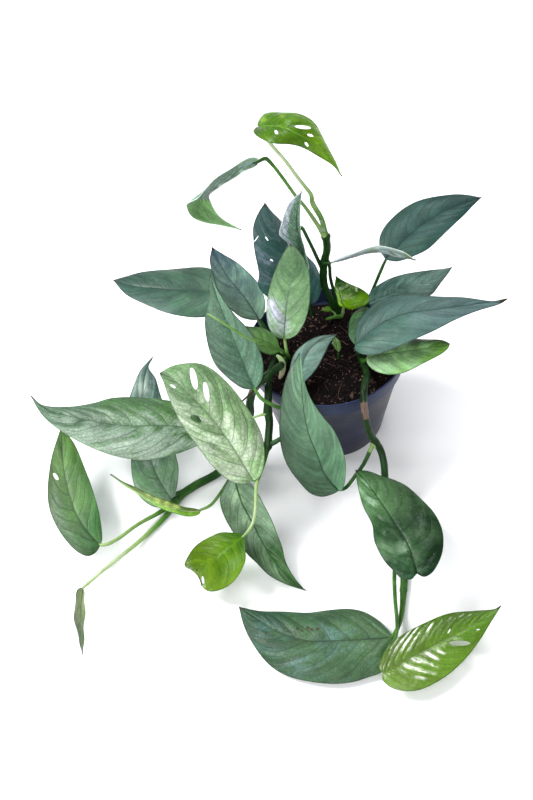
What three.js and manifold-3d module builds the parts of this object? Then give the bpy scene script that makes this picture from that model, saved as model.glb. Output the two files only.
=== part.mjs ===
// A cebu blue pothos in a plastic nursery pot. The climbing stems, the trailing
// vines and every leaf stand where the photograph shows them. Millimetres, +Z up.
// The origin is the centre of the pot's underside, on the surface it stands on.
import * as THREE from 'three';
import { mergeVertices } from 'three/addons/utils/BufferGeometryUtils.js';
import Module from 'manifold-3d';

const wasm = await Module();
wasm.setup();

// Driving dimensions, in millimetres
const RIM_RADIUS = 60;
const POT_HEIGHT = 86;
const BASE_RADIUS = 42;
const BAND_HEIGHT = 14;
const BAND_STEP = 2;
const WALL = 1.3;
const FLOOR_THICK = 1.6;
const RECESS = 2.5;
const SOIL_HEIGHT = 74;
const SOIL_MOUND = 2.5;
const SOIL_RELIEF = 1.4;
const BLADE_THICK = 0.7;
const BLADE_BULGE = 0.09;
const HOLE_CUT = 60;
const GAP = 0.35;
const STEM_HOLE = 0.65;

// How finely curved things are divided
const POT_SIDES = 40;
const SOIL_SIDES = 32;
const SOIL_RINGS = 6;
const BLADE_ROWS = 9;
const SMALL_ROWS = 6;
const HALF_COLUMNS = 3;
const STEM_STEP = 12;
const VINE_SIDES = 7;
const STALK_SIDES = 5;
const HOLE_SIDES = 8;

// The photographer's eye. A pixel of the 533 by 800 photograph and a height
// above the surface together give one point of the plant.
const VIEW = {
  focal: 1111,
  centre: [266.5, 400],
  tilt: THREE.MathUtils.degToRad(50.05),
  roll: THREE.MathUtils.degToRad(-7.08),
  eye: new THREE.Vector3(-49.9, -564.9, 704.4),
};
VIEW.forward = new THREE.Vector3(0, Math.cos(VIEW.tilt), -Math.sin(VIEW.tilt));
VIEW.up = new THREE.Vector3(0, Math.sin(VIEW.tilt), Math.cos(VIEW.tilt));
VIEW.right = new THREE.Vector3(1, 0, 0);

// The direction from the eye through the pixel u, v.
function sight(u, v) {
  const across = u - VIEW.centre[0];
  const above = VIEW.centre[1] - v;
  const c = Math.cos(VIEW.roll);
  const s = Math.sin(VIEW.roll);
  return VIEW.forward
    .clone()
    .multiplyScalar(VIEW.focal)
    .addScaledVector(VIEW.right, c * across - s * above)
    .addScaledVector(VIEW.up, s * across + c * above);
}

// The point at height z that the photograph shows at the pixel u, v.
function place(u, v, z) {
  const ray = sight(u, v);
  return VIEW.eye.clone().addScaledVector(ray, (z - VIEW.eye.z) / ray.z);
}

// Leaves, each from the stalk to the tip. Midrib points are pixel, pixel,
// height. Edge points are pixels. lift is how far the left and the right edge
// stand above the midrib, camber how far each half bulges, and a hole is the
// two pixels at its ends and its width in pixels.
const LEAVES = {
  leaf_top_glossy: {
    colour: 'bright',
    midrib: [[258.2, 126.5, 262], [273, 126, 270], [285, 128, 272], [298, 134, 269],
      [316, 144, 259], [332, 160, 244], [341.7, 176.5, 230]],
    left: [[257.1, 124.7], [264, 114.8], [282, 111.8], [297, 112.8], [312.4, 121.5],
      [323.3, 136.6], [333.2, 157.2]],
    right: [[253.3, 130.1], [256, 135.5], [267, 141.5], [290.7, 144.8], [306, 149.6],
      [319, 156.2], [333, 166]],
    lift: [-2, -3],
    holes: [[294.5, 126.3, 311.1, 128, 3.8], [307, 134.5, 313.5, 136.1, 2.6],
      [274.9, 130, 277.7, 134.2, 3], [304.8, 142.1, 308.3, 146.6, 2.6]],
  },
  leaf_folded_back: {
    colour: 'silver',
    midrib: [[259, 162, 230], [245, 165, 231], [230, 173.5, 228], [215, 184, 221],
      [201, 197, 212], [199.5, 207, 205], [208, 214, 201], [222, 221.5, 197.5],
      [242, 229.9, 196]],
    left: [[259, 158.5], [251.7, 157.2], [240.8, 161.6], [230, 169.2], [213, 180],
      [201, 192.6], [186, 205.8], [188.6, 214.4], [195, 219.6], [206.4, 223.1], [226, 227.1]],
    right: [[256, 166.5], [246.3, 171.3], [232.8, 180], [220.2, 187.5], [209, 195],
      [211, 202], [218, 213.3], [228.2, 222.5]],
    lift: [3, -4],
  },
  leaf_tall_blue: {
    colour: 'dark',
    midrib: [[311, 304, 88], [300, 278, 118], [286, 251, 150], [275, 226, 178],
      [265, 202.5, 200]],
    left: [[300, 308], [283, 304], [266, 296], [258.3, 284.5], [259.2, 276], [254.6, 253.5],
      [253.5, 240], [253.8, 225.9], [258, 213.3]],
    right: [[316, 302], [320.8, 290.2], [320.6, 277.6], [315.5, 265], [306.9, 255.8],
      [294, 238], [280.5, 220.2], [271.8, 211.5]],
    lift: [3, -2],
    holes: [[253, 243, 258.8, 235, 1.8], [265, 236, 268.5, 241, 2.4],
      [270, 258.5, 273.5, 262, 2.4]],
  },
  leaf_silver_curled: {
    colour: 'silver',
    midrib: [[302, 262, 146], [301, 248, 160], [298, 232, 176], [297, 215, 192],
      [299, 202, 204], [301.9, 191.3, 213]],
    left: [[297, 266], [292, 258], [288, 244], [279.5, 235], [281.5, 222], [287.5, 206],
      [295, 197]],
    right: [[308.6, 270], [305.5, 251], [301.5, 236], [300.5, 224], [300.6, 208]],
    lift: [7, -2],
  },
  leaf_pale_centre: {
    colour: 'pale',
    midrib: [[283.9, 338.4, 99], [285, 322, 115], [286.8, 304, 133], [290.8, 283.3, 152],
      [294, 260.4, 172], [290.2, 244.3, 186]],
    left: [[279.9, 338.4], [271.8, 332.7], [266.9, 320.1], [266.7, 304], [270.7, 283.3],
      [277.6, 265], [285.6, 249.5]],
    right: [[288, 339], [297.1, 333.8], [304, 323.5], [308.6, 308.6], [310.3, 289.1],
      [308.6, 270.7], [303.5, 257.5], [296, 247.9]],
    lift: [-3, -2],
  },
  leaf_grey_left: {
    colour: 'dark',
    midrib: [[259.4, 319.8, 98], [244.3, 297.1, 120], [225.9, 274.1, 143],
      [212.1, 247.2, 166]],
    left: [[251.2, 320.1], [239.7, 316.6], [225.9, 304], [213.5, 278], [209.9, 260.4]],
    right: [[262.5, 317], [265.3, 309], [265.5, 301.7], [261.5, 289.1], [253.5, 277.6],
      [237.4, 262.7], [220.2, 252.3]],
    lift: [1, 2],
  },
  leaf_far_left: {
    colour: 'mid',
    midrib: [[240, 298, 95], [210, 292, 101], [180, 290, 105], [154, 288, 104],
      [133.5, 286, 101], [113, 280, 97]],
    left: [[236, 306], [225, 313], [206, 317], [194, 318], [180, 316], [154, 308],
      [127, 295.5]],
    right: [[241, 289], [232, 279], [210, 269], [180, 268], [140, 273], [125, 276.5]],
    lift: [-2, -3],
  },
  leaf_left_upright: {
    colour: 'mid',
    midrib: [[254.5, 389, 101], [246, 370, 111], [238, 350, 123], [228, 325, 138],
      [218, 300, 154], [210, 274, 171]],
    left: [[248, 389.2], [242, 388], [229, 379], [215, 364], [207, 341], [205, 317],
      [209, 297], [208.6, 285]],
    right: [[258, 386], [262, 379], [263.4, 364], [258, 346.5], [247, 328], [234, 314],
      [220.5, 294]],
    lift: [-1, 3],
  },
  leaf_small_green: {
    colour: 'bright',
    rows: SMALL_ROWS,
    midrib: [[280.5, 351, 92], [271, 344, 97], [256, 337, 101], [236, 324, 104]],
    left: [[276, 354], [269.5, 354.5], [259.2, 351], [247, 341]],
    right: [[279.3, 346.5], [276.4, 338.4], [267.2, 329.6], [253.5, 326.9], [243, 325]],
    lift: [-1, -1],
  },
  leaf_over_soil: {
    colour: 'grey',
    midrib: [[298, 386, 85], [301, 372, 89], [305, 357, 94], [313, 346, 98],
      [325, 338.5, 100], [337.1, 334.7, 101]],
    left: [[293, 380], [290, 370], [291.5, 360.8], [296.9, 350.1], [308.9, 340.7],
      [322.3, 335.4]],
    right: [[304.9, 381.6], [314.3, 371.5], [321, 360.8], [326.3, 350.1], [330.5, 342]],
    lift: [3, -2],
  },
  leaf_front_large: {
    colour: 'mid',
    midrib: [[338.5, 491, 24], [325, 474.6, 41], [317, 454.5, 60], [308.9, 434.5, 78],
      [304.2, 413, 95], [302.4, 394.3, 108], [301, 374.2, 117], [299.6, 352.7, 123]],
    left: [[333, 494.1], [322.3, 496.7], [310.3, 493.4], [299.6, 482.7], [287.5, 465.3],
      [281.5, 447.9], [278.9, 429.1], [280.1, 410.4], [283.5, 388.9], [289.3, 370.5],
      [296, 358.5]],
    right: [[342.4, 489.4], [345.4, 474.6], [345.8, 461.2], [341.1, 445.2], [333, 429.1],
      [322.3, 415.7], [310.3, 397], [303.8, 379.6], [301.5, 362]],
    lift: [3, -2],
  },
  leaf_narrow_trailing: {
    colour: 'mid',
    midrib: [[233.5, 475, 43], [241.8, 502.5, 35], [253.3, 524.3, 28], [260.2, 538.1, 23],
      [270.5, 555.3, 17], [282, 570.2, 12], [306.1, 590.9, 6]],
    left: [[229.2, 479], [223.5, 488.7], [220, 498], [221.2, 508.2], [224.6, 517.4],
      [231.5, 530], [246.4, 553], [255.6, 562.2], [268.2, 574.8], [285.5, 584]],
    right: [[241, 476], [251, 484], [257.9, 493.3], [264.8, 505.9], [271.7, 519.7],
      [277.4, 534.6], [282, 546.1], [286.6, 563.3], [295.8, 579.4]],
    lift: [-2, -1],
  },
  leaf_fenestrated: {
    colour: 'pale',
    midrib: [[253, 480.5, 57], [229.5, 442, 75], [206.5, 411.4, 86], [191.2, 396, 91],
      [177.2, 382, 94], [167, 375, 94], [159.3, 373.4, 92]],
    left: [[247, 483.5], [238, 484], [227, 479], [209, 462], [194, 442], [181, 423],
      [169.5, 400], [163, 381]],
    right: [[258, 479], [262.7, 470], [264.6, 455], [262.7, 437], [255, 420], [242, 401],
      [227, 382], [213, 369.5], [201, 364], [187, 363.6], [171, 366.5]],
    lift: [-2, 0],
    holes: [[191.5, 367.5, 196, 389.5, 6.5], [204.5, 382, 208, 401.5, 5.5],
      [170.5, 384.5, 175.5, 388, 2.5], [190.5, 416, 201.5, 421.5, 6.5]],
  },
  leaf_round_bright: {
    colour: 'bright',
    blunt: true,
    midrib: [[243, 535.8, 33], [234, 543.5, 33], [223.5, 551.8, 31], [212, 561, 26],
      [203, 568.5, 18], [197, 576, 9]],
    left: [[242, 533.9], [230.4, 532.9], [218.9, 532.9], [205.1, 539.2], [194.8, 547.2],
      [186.7, 557.6], [184.4, 565.6], [191.3, 570.2]],
    right: [[244.5, 539], [245.3, 547.2], [245.3, 559.9], [240.7, 572.5], [230.4, 584],
      [218.9, 590.3], [207.4, 590.9], [200.5, 585]],
    lift: [-1, -1],
    holes: [[202.3, 576, 203.6, 584, 3]],
  },
  leaf_long_silver: {
    colour: 'pale',
    midrib: [[203, 433, 62], [179, 426.5, 61], [128, 425.5, 57], [96.5, 421.6, 53],
      [71, 416.5, 50], [45.5, 409, 47], [30.5, 396, 47]],
    left: [[205, 441], [192, 448], [179, 453.5], [160, 458.6], [141, 460], [116, 456],
      [96.5, 450], [77, 441], [58, 429], [42, 415]],
    right: [[203, 424], [190, 408], [160, 399], [128, 397], [109, 399], [96.5, 402.5],
      [71, 406], [43, 405]],
    lift: [-3, 1],
  },
  leaf_behind_long: {
    colour: 'grey',
    midrib: [[171.5, 499.5, 11], [159.3, 480.3, 17], [151, 461.2, 23], [144, 425, 33],
      [143, 395, 41], [146, 373, 47], [154.2, 355.3, 51]],
    left: [[167, 503.5], [160.6, 507.1], [153, 506.5], [139, 495.6], [133.8, 484.1],
      [131.3, 470.1], [131, 450], [128, 425], [129, 400], [132.6, 388.5], [140.2, 370.6],
      [147, 362.5]],
    right: [[174, 495], [176.6, 488], [178.5, 467.6], [175.9, 454.8], [171, 425],
      [161.3, 397.4], [155.5, 378.3], [148.6, 366.8]],
    lift: [1, -1],
  },
  leaf_left_trailing: {
    colour: 'mid',
    midrib: [[100.3, 545.2, 20], [86.3, 529.8, 25], [76.5, 514.4, 28], [68, 489, 31],
      [63.8, 468, 33], [61, 427, 35]],
    left: [[96.1, 552.2], [87.7, 556.4], [77.9, 552.2], [66.7, 541], [55.4, 524.2],
      [49.1, 507.3], [47.7, 487.7], [50.5, 462.4], [56.8, 440]],
    right: [[102, 540], [100.3, 518.6], [94.7, 496.1], [86.3, 472.3], [73.7, 442.8]],
    lift: [-2, -2],
    holes: [[53.3, 473, 58.2, 480, 3.4]],
  },
  leaf_small_edge: {
    colour: 'mid',
    rows: SMALL_ROWS,
    midrib: [[83.3, 588, 15], [81.5, 602, 15], [80.5, 618, 13], [81.5, 636, 10],
      [83, 654.6, 7]],
    left: [[78.5, 588.5], [74.8, 602.7], [74.4, 615.4], [77.2, 633.6]],
    right: [[84.6, 592], [84.9, 608.3], [84.6, 622.4], [83.9, 636.4]],
    lift: [9, -6],
  },
  leaf_edge_bright: {
    colour: 'bright',
    midrib: [[201.3, 510.8, 19], [187, 511, 20], [173.3, 507.2, 21], [156.4, 501, 22],
      [138, 492, 24], [124, 483.5, 26], [110.1, 474.4, 28]],
    left: [[198.5, 514.6], [187.3, 516.7], [173.3, 513], [156.4, 505.9], [141, 497.5],
      [132.6, 490.3], [118.6, 481]],
    right: [[197, 509], [180.3, 505.9], [159.2, 497.5], [138.2, 489.1], [124.2, 481.9]],
    lift: [-3, 7],
  },
  leaf_right_heart: {
    colour: 'mid',
    midrib: [[417, 573.5, 44], [409, 547, 47], [394, 522, 47], [378.5, 499, 44],
      [365, 480, 39], [355.5, 470, 36]],
    left: [[411, 579.5], [401, 578], [394, 571], [383.6, 560], [374.6, 542], [372, 524],
      [363, 506], [357, 482]],
    right: [[424, 577], [432, 573], [441, 557], [443.5, 542], [442, 529], [434.6, 514],
      [422, 500], [406.5, 485.5], [394, 479.5], [381, 476], [368, 471.2]],
    lift: [-3, -1],
  },
  leaf_floor_left: {
    colour: 'mid',
    midrib: [[393.1, 637, 9], [363.5, 639.4, 10], [334.8, 640.7, 11], [306.1, 640.4, 10],
      [277.4, 630.8, 8], [258.3, 619.3, 7], [239.1, 606.9, 6]],
    left: [[392, 646], [388, 660], [381, 672.5], [369.2, 676.7], [353.9, 681.5],
      [334.8, 684], [311.8, 682.4], [287, 675.7], [267.8, 663.3], [250.6, 640.4],
      [243, 623.1]],
    right: [[387.4, 628.9], [378.8, 620.3], [365.4, 612.6], [350.1, 609.4], [327.1, 610.1],
      [306.1, 612.6], [283.1, 612], [258.3, 610.7]],
    lift: [-6, -5],
  },
  leaf_floor_right: {
    colour: 'bright',
    midrib: [[382.6, 673, 15], [411.3, 657.6, 17], [440, 642.3, 17], [468.7, 627, 19],
      [487.8, 615.5, 22], [501.2, 605.9, 26]],
    left: [[379, 669], [379.7, 661.4], [388.4, 646.1], [407.5, 631.7], [430.5, 620.3],
      [449.6, 613.6], [474.4, 610.7], [493.6, 609.2]],
    right: [[382.5, 679], [386, 684], [394.1, 689.1], [409.4, 691.1], [422.8, 688.6],
      [445.8, 676.7], [463, 661.4], [478.3, 642.3], [491.7, 621.2]],
    lift: [-1, -6],
    holes: [[448.6, 643.2, 470.2, 643.2, 5.2], [447.7, 633.7, 450.5, 628.9, 1.6],
      [476.2, 629.9, 480, 629.3, 1.6]],
  },
  leaf_back_right: {
    colour: 'dark',
    midrib: [[385.6, 259.3, 128], [398.2, 245.9, 133], [416.5, 229.1, 138],
      [434.7, 216.5, 142], [454.3, 206.7, 145], [481.7, 197.5, 148]],
    left: [[380.5, 252], [379.3, 245], [380, 236.1], [385.6, 224.9], [396.8, 213.7],
      [412.3, 203.9], [429.1, 197.5], [450.1, 194.5], [468.4, 195.2]],
    right: [[389.8, 260.7], [396.8, 261.4], [412.3, 257.2], [426.3, 250.2], [440.3, 237.5],
      [458.6, 220.7], [472.6, 206]],
    lift: [3, -3],
  },
  leaf_right_short: {
    colour: 'dark',
    rows: SMALL_ROWS,
    midrib: [[369, 304, 100], [391.2, 295.1, 107], [412.3, 288.4, 111], [433.3, 280, 114],
      [452.2, 267.3, 117]],
    left: [[369.5, 297], [371, 291], [384.2, 281], [398.2, 276.1], [419.3, 271.2],
      [440.3, 269.3]],
    right: [[373, 308], [385, 309], [405, 305], [430.5, 295.1], [440.3, 283.8],
      [448.7, 272.6]],
    lift: [2, -4],
  },
  leaf_thin_silver: {
    colour: 'silver',
    rows: SMALL_ROWS,
    midrib: [[330, 262.8, 131], [342.1, 259, 137], [356.1, 253.7, 143],
      [370.2, 250.5, 148], [384.2, 249.5, 151], [398.5, 253, 152], [415.8, 260.3, 150]],
    left: [[342.1, 256.8], [356.1, 251.3], [370.2, 247.8], [380, 246], [391.2, 247.1],
      [401, 250.9], [409.4, 255.9]],
    right: [[342.1, 260.9], [356.1, 256], [370.2, 253.2], [384.2, 253.2], [395.4, 255.9],
      [406.6, 258.8]],
    lift: [8, -6],
  },
  leaf_right_long: {
    colour: 'dark',
    midrib: [[356.3, 344.5, 103], [370.2, 331.5, 111], [387, 320.3, 117],
      [406.6, 313.3, 121], [426.3, 310.5, 122], [448.7, 307.7, 121], [482.4, 303, 116],
      [507.7, 299.2, 113]],
    left: [[355.8, 338], [356.3, 327.3], [361, 316.1], [370.2, 307], [380, 300.2],
      [394, 296.4], [412.3, 295.4], [437.5, 296], [461.4, 297.2], [482.4, 300.2],
      [500, 301.6]],
    right: [[354.2, 348.5], [357, 351.8], [364.5, 354.7], [375.8, 354], [398.2, 347],
      [426.3, 334.3], [454.3, 320.3], [479.6, 310.5], [500.6, 303.8]],
    lift: [1, -4],
  },
  leaf_right_bright: {
    colour: 'bright',
    midrib: [[366.5, 357.5, 94], [384.2, 354, 98], [409.4, 350.5, 100], [433.3, 347, 101],
      [450.1, 344.2, 101]],
    left: [[368, 352], [377, 347], [396, 341], [416.5, 338.6], [431.9, 339.3],
      [445.9, 341.4]],
    right: [[367.3, 363.8], [375.8, 371.5], [387, 374.8], [401, 372.9], [415.1, 368],
      [433.3, 358.2], [447.3, 349.4]],
    lift: [-1, -2],
  },
  leaf_tucked_under: {
    colour: 'grey',
    rows: SMALL_ROWS,
    midrib: [[367.5, 307, 92], [362, 318, 94], [358, 332, 93], [355, 345.5, 89]],
    left: [[371, 311], [371, 322], [366, 336], [359, 344]],
    right: [[363, 307.6], [356.1, 310.5], [350.5, 318.9], [348.4, 328.7], [349.2, 337.1]],
    lift: [0, -1],
  },
  leaf_small_bright: {
    colour: 'bright',
    rows: SMALL_ROWS,
    midrib: [[343.5, 306.5, 93], [340.5, 297, 101], [338, 287, 108], [336.2, 275.8, 114]],
    left: [[340, 306.5], [336.5, 296.5], [334.4, 288]],
    right: [[348, 309], [358, 308.4], [366.5, 305], [370.6, 297.5], [364, 290.5],
      [350, 284], [341, 279.5]],
    lift: [1, -1],
  },
  leaf_shoot_back: {
    colour: 'bright',
    rows: SMALL_ROWS,
    midrib: [[331.6, 309.6, 83.5], [327, 309, 86], [320.5, 310.2, 88]],
    left: [[329.5, 311.6], [325.5, 311.5]],
    right: [[330.5, 306.4], [326.5, 306.4]],
    lift: [0, 0],
  },
  leaf_shoot_front: {
    colour: 'bright',
    rows: SMALL_ROWS,
    midrib: [[338.5, 352, 83], [337.5, 345, 86], [335.5, 336.5, 88]],
    left: [[335, 349], [332, 342]],
    right: [[341, 349], [340, 341.5]],
    lift: [0, 0],
  },
};

// Stems and leaf stalks. A run is a list of pixel, pixel, height, radius. The
// first run of each stem is its main one, and a run with a leaf ends at it.
const STEMS = {
  vine_back: {
    sides: VINE_SIDES,
    runs: [
      { path: [[342, 320, 64, 2.8], [338, 314, 75, 2.9], [331, 300, 91, 2.9],
        [324.6, 286, 104, 2.8], [323.4, 270, 120, 2.8], [324.5, 261, 129, 2.8],
        [327, 249, 141, 2.9], [326.4, 240, 150, 2.9], [325, 233, 157, 2.7]] },
      { path: [[325.5, 236, 154, 2.2], [321.5, 219, 171, 1.9], [312.6, 202.8, 189, 1.9],
        [310.9, 194.4, 198, 1.5], [305.9, 187.6, 205, 1.3], [297.2, 176.8, 217, 1.3],
        [284.2, 159.4, 236, 1.2], [268.5, 141.5, 253, 1.2], [260.5, 130, 260, 1.2]],
        leaf: 'leaf_top_glossy' },
      { path: [[325, 236, 154, 2.2], [319, 227, 163, 1.6], [305.9, 208, 183, 1.3],
        [295, 195, 196, 1.2], [284.2, 180, 210, 1.2], [273.4, 165.9, 222, 1.2],
        [266, 158.6, 228, 1.5], [262, 159.6, 229.5, 1.3]], leaf: 'leaf_folded_back' },
      { path: [[327, 237, 153, 1.2], [330.3, 234.2, 155, 0.9]] },
      { path: [[323.5, 272, 118, 1.4], [319, 262, 128, 1.4], [308, 240, 147, 1.3],
        [303, 231, 153, 1.3], [300.6, 239, 149, 1.2], [301.5, 252, 143, 1.2]],
        leaf: 'leaf_silver_curled' },
      { path: [[325.5, 258, 132, 1.6], [329, 264, 127, 1.3], [330.4, 278, 111, 1.3],
        [333.8, 291, 98, 1.3], [339, 309, 80, 1.3], [342, 319, 66, 1.3]] },
      { path: [[322, 262.8, 129, 1.2], [326, 263.4, 130, 1.1]], leaf: 'leaf_thin_silver' },
      { path: [[323.4, 262.5, 128, 1.1], [318.4, 264, 126, 0.8]] },
      { path: [[341, 319, 68, 1.6], [341.7, 316, 78, 1.5], [342.4, 313.5, 83, 1.3]],
        leaf: 'leaf_small_bright' },
      { path: [[341, 316.5, 77.5, 1.6], [334, 317, 80.3, 1.4], [325.5, 319.3, 80, 1.2]] },
      { path: [[335, 317, 80.3, 1.1], [335, 313.5, 81, 0.8]], leaf: 'leaf_shoot_back' },
    ],
  },
  stalk_tall_blue: {
    sides: STALK_SIDES,
    runs: [
      { path: [[313, 323, 63, 1.4], [312, 313, 78, 1.4]], leaf: 'leaf_tall_blue' },
    ],
  },
  vine_left: {
    sides: VINE_SIDES,
    runs: [
      { path: [[278, 352, 62, 2.8], [276.4, 355, 74, 2.8], [273.4, 364, 84, 2.8],
        [269, 378, 90, 2.8], [268.4, 388, 92, 2.8], [268, 399, 89.5, 2.8],
        [267.8, 411.4, 80, 3.2], [269.4, 421.6, 73, 2.8], [268.4, 436.9, 66, 2.8],
        [267.6, 447, 61, 3], [266.5, 452, 59, 2]] },
      { path: [[267.5, 446, 62, 2], [265.4, 457, 58.5, 1.5], [261.4, 470, 56, 1.3],
        [256.5, 480, 56, 1.4]], leaf: 'leaf_fenestrated' },
      { path: [[257.5, 479, 56, 1.2], [255.9, 490, 53, 1.3], [255.6, 506, 46, 1.2],
        [252.8, 523, 40, 1.1], [248, 531, 36, 1.1]], leaf: 'leaf_round_bright' },
      { path: [[263.5, 464, 57, 1.3], [255, 464, 52, 1.2], [243, 467, 46, 1.2]],
        leaf: 'leaf_narrow_trailing' },
      { path: [[267.8, 445, 62, 1.8], [274, 442.5, 64, 1.5], [281, 438.5, 66, 1.4],
        [288, 434, 66, 1.2]] },
      { path: [[276, 356, 76, 1.6], [272, 342, 84, 1.3], [266, 329.5, 91, 1.3]],
        leaf: 'leaf_grey_left' },
      { path: [[275.5, 357, 77, 1.6], [268, 344, 81, 1.3], [262, 328, 86, 1.3],
        [253, 311, 91, 1.3]], leaf: 'leaf_far_left' },
      { path: [[267.8, 412.5, 80, 1.4], [261, 415, 80, 0.9], [252.5, 417.6, 79, 0.8]] },
    ],
  },
  stalk_left_upright: {
    sides: STALK_SIDES,
    runs: [
      { path: [[301, 384, 62, 1.4], [300, 384, 76, 1.4], [296, 391, 91, 1.4],
        [288, 402, 93, 1.4], [281, 407.6, 94, 1.4], [270.3, 403.8, 99, 1.3],
        [261.4, 398.4, 102, 1.3]], leaf: 'leaf_left_upright' },
      { path: [[300, 384, 70, 1.3], [297.5, 388, 80, 1.2]], leaf: 'leaf_over_soil' },
    ],
  },
  vine_floor: {
    sides: VINE_SIDES,
    runs: [
      { path: [[291, 357, 62, 2.9], [288, 359, 74, 2.9], [284, 362.5, 86, 2.9],
        [278.5, 367, 98, 2.9], [270, 373.5, 104, 2.9], [263, 379.5, 101, 2.9],
        [257, 385.5, 91, 2.9], [252.6, 392, 79, 2.9], [250, 402, 67, 3],
        [250, 414, 52, 3.1], [243, 433, 33, 3.1], [232, 456, 13, 3.1],
        [218, 472.7, 4.2, 3.2], [196, 485, 3.6, 3.3], [176, 498, 3.6, 3.3]] },
      { path: [[179, 496.5, 3.6, 2.4], [164, 509.5, 3.2, 1.8], [138.2, 524.2, 8, 1.5],
        [118.6, 538.2, 15, 1.4], [106, 544.5, 19, 1.4]], leaf: 'leaf_left_trailing' },
      { path: [[179, 498, 3.2, 2.4], [167.5, 514, 2.4, 2], [150.8, 531.2, 2.6, 1.8],
        [131.2, 548, 6, 1.5], [103.1, 570.5, 12, 1.3], [88, 583.5, 15, 1.2]],
        leaf: 'leaf_small_edge' },
      { path: [[180, 496, 3.6, 2.4], [174.5, 498.6, 7.5, 1.4]], leaf: 'leaf_behind_long' },
      { path: [[240, 440, 27, 1.6], [236.5, 458, 20, 1.3], [230, 477, 15, 1.2],
        [219, 495, 15, 1.2], [210, 505.5, 17, 1.2]], leaf: 'leaf_edge_bright' },
      { path: [[248, 418, 48, 1.6], [238, 425, 54, 1.3], [222, 431, 59, 1.3]],
        leaf: 'leaf_long_silver' },
      { path: [[287.6, 359.5, 76, 1.8], [288.6, 357, 86, 1.4], [286.8, 352, 93, 1.3]],
        leaf: 'leaf_pale_centre' },
      { path: [[285, 361.5, 84, 1.6], [285.6, 358, 88, 1.3], [284, 354, 91, 1.1]],
        leaf: 'leaf_small_green' },
      { path: [[284.4, 354.5, 91, 1.1], [281, 349.6, 105, 0.9], [260.4, 343, 127, 1],
        [244.3, 336.1, 141, 1], [229.4, 326.9, 150, 0.9], [217.9, 319.5, 155, 0.8],
        [207.5, 313.6, 158, 0.5]] },
      { path: [[259, 383, 94, 1.4], [256, 388.5, 92, 0.8], [250, 394, 87, 0.7],
        [242, 401.5, 82, 0.6]] },
    ],
  },
  vine_right: {
    sides: VINE_SIDES,
    runs: [
      { path: [[358, 346, 62, 2.6], [359.5, 354, 73, 2.6], [363, 362, 79, 2.6],
        [366, 370, 83, 2.6], [367.2, 377, 88, 2.7], [365.2, 383, 91.5, 2.7],
        [363.8, 392, 92, 2.6], [363.6, 401, 88, 2.5], [365, 412, 78, 2.5],
        [366.5, 421, 70, 2.4], [370.5, 434.5, 58, 2.6], [374.8, 441.5, 51, 3],
        [380.5, 450, 44, 2.7], [384, 464, 36, 2.7], [385, 478, 28, 2.7],
        [388, 500, 17, 2.7], [396, 540, 6, 2.8], [404, 577, 2.9, 2.7],
        [403.2, 594, 2.8, 2.6]] },
      { path: [[374.5, 442, 50, 2], [371.9, 447, 46, 1.6], [363.8, 463.9, 35, 1.5],
        [355.5, 475.5, 27, 1.4], [344.6, 488.5, 23.5, 1.4]], leaf: 'leaf_front_large' },
      { path: [[392, 520, 11, 1.8], [402, 548, 20, 1.4], [411, 566, 34, 1.3]],
        leaf: 'leaf_right_heart' },
      { path: [[403.5, 590, 2.8, 2.2], [401.8, 611.7, 3, 1.9], [397.5, 628, 6, 1.6]],
        leaf: 'leaf_floor_left' },
      { path: [[397, 546, 6, 2], [394.4, 571.5, 8, 1.5], [395, 598.3, 9, 1.4],
        [397, 623.1, 10, 1.3], [396, 636, 13, 1.1], [388, 652, 12.5, 1],
        [383, 665, 11.5, 1]], leaf: 'leaf_floor_right' },
      { path: [[360.5, 356, 75, 2], [358, 352.5, 88, 1.4]], leaf: 'leaf_right_long' },
      { path: [[362, 360, 77, 2], [364.5, 361, 87, 1.3]], leaf: 'leaf_right_bright' },
    ],
  },
  crown_right: {
    sides: STALK_SIDES,
    runs: [
      { path: [[360, 334, 60, 2.6], [361, 328, 74, 2.6], [361.5, 325, 79, 2]] },
      { path: [[361, 327, 76, 1.6], [364, 309, 84, 1.4], [369.5, 297, 92, 1.3],
        [375, 284.5, 103, 1.3], [380, 272.6, 115, 1.3]], leaf: 'leaf_back_right' },
      { path: [[361.5, 327, 76, 1.6], [370, 320, 79, 1.4], [375, 313, 86, 1.3],
        [373.5, 307.5, 94, 1.3]], leaf: 'leaf_right_short' },
      { path: [[360.5, 328, 75, 1.5], [364, 315, 81, 1.2]], leaf: 'leaf_tucked_under' },
    ],
  },
  stalk_shoot_front: {
    sides: STALK_SIDES,
    runs: [
      { path: [[338, 362, 64, 1.1], [338.3, 358, 76, 1.1], [338.4, 352.8, 82.2, 0.8]] },
    ],
  },
};

// Points at even steps along the smooth curve through some given ones. power
// above 1 crowds them towards the start.
function along(points, count, from = 0, to = 1, power = 1) {
  const curve = new THREE.CatmullRomCurve3(points, false, 'centripetal');
  return Array.from({ length: count + 1 }, (_, i) =>
    curve.getPointAt(from + (to - from) * (i / count) ** power));
}

// A solid from its corners and the corner numbers of its triangles.
function solid(corners, triangles) {
  const geometry = new THREE.BufferGeometry().setFromPoints(corners);
  geometry.setIndex(triangles);
  return solidOf(geometry);
}

function solidOf(geometry) {
  const bare = new THREE.BufferGeometry();
  bare.setAttribute('position', geometry.getAttribute('position'));
  bare.setIndex(geometry.getIndex());
  const merged = mergeVertices(bare, 1e-4);
  const mesh = new wasm.Mesh({
    numProp: 3,
    vertProperties: merged.getAttribute('position').array,
    triVerts: new Uint32Array(merged.getIndex().array),
  });
  return new wasm.Manifold(mesh);
}

// The biggest body of a solid, without the scraps that a cut leaves.
function biggest(shape) {
  return shape.decompose().sort((a, b) => b.volume() - a.volume())[0];
}

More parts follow.
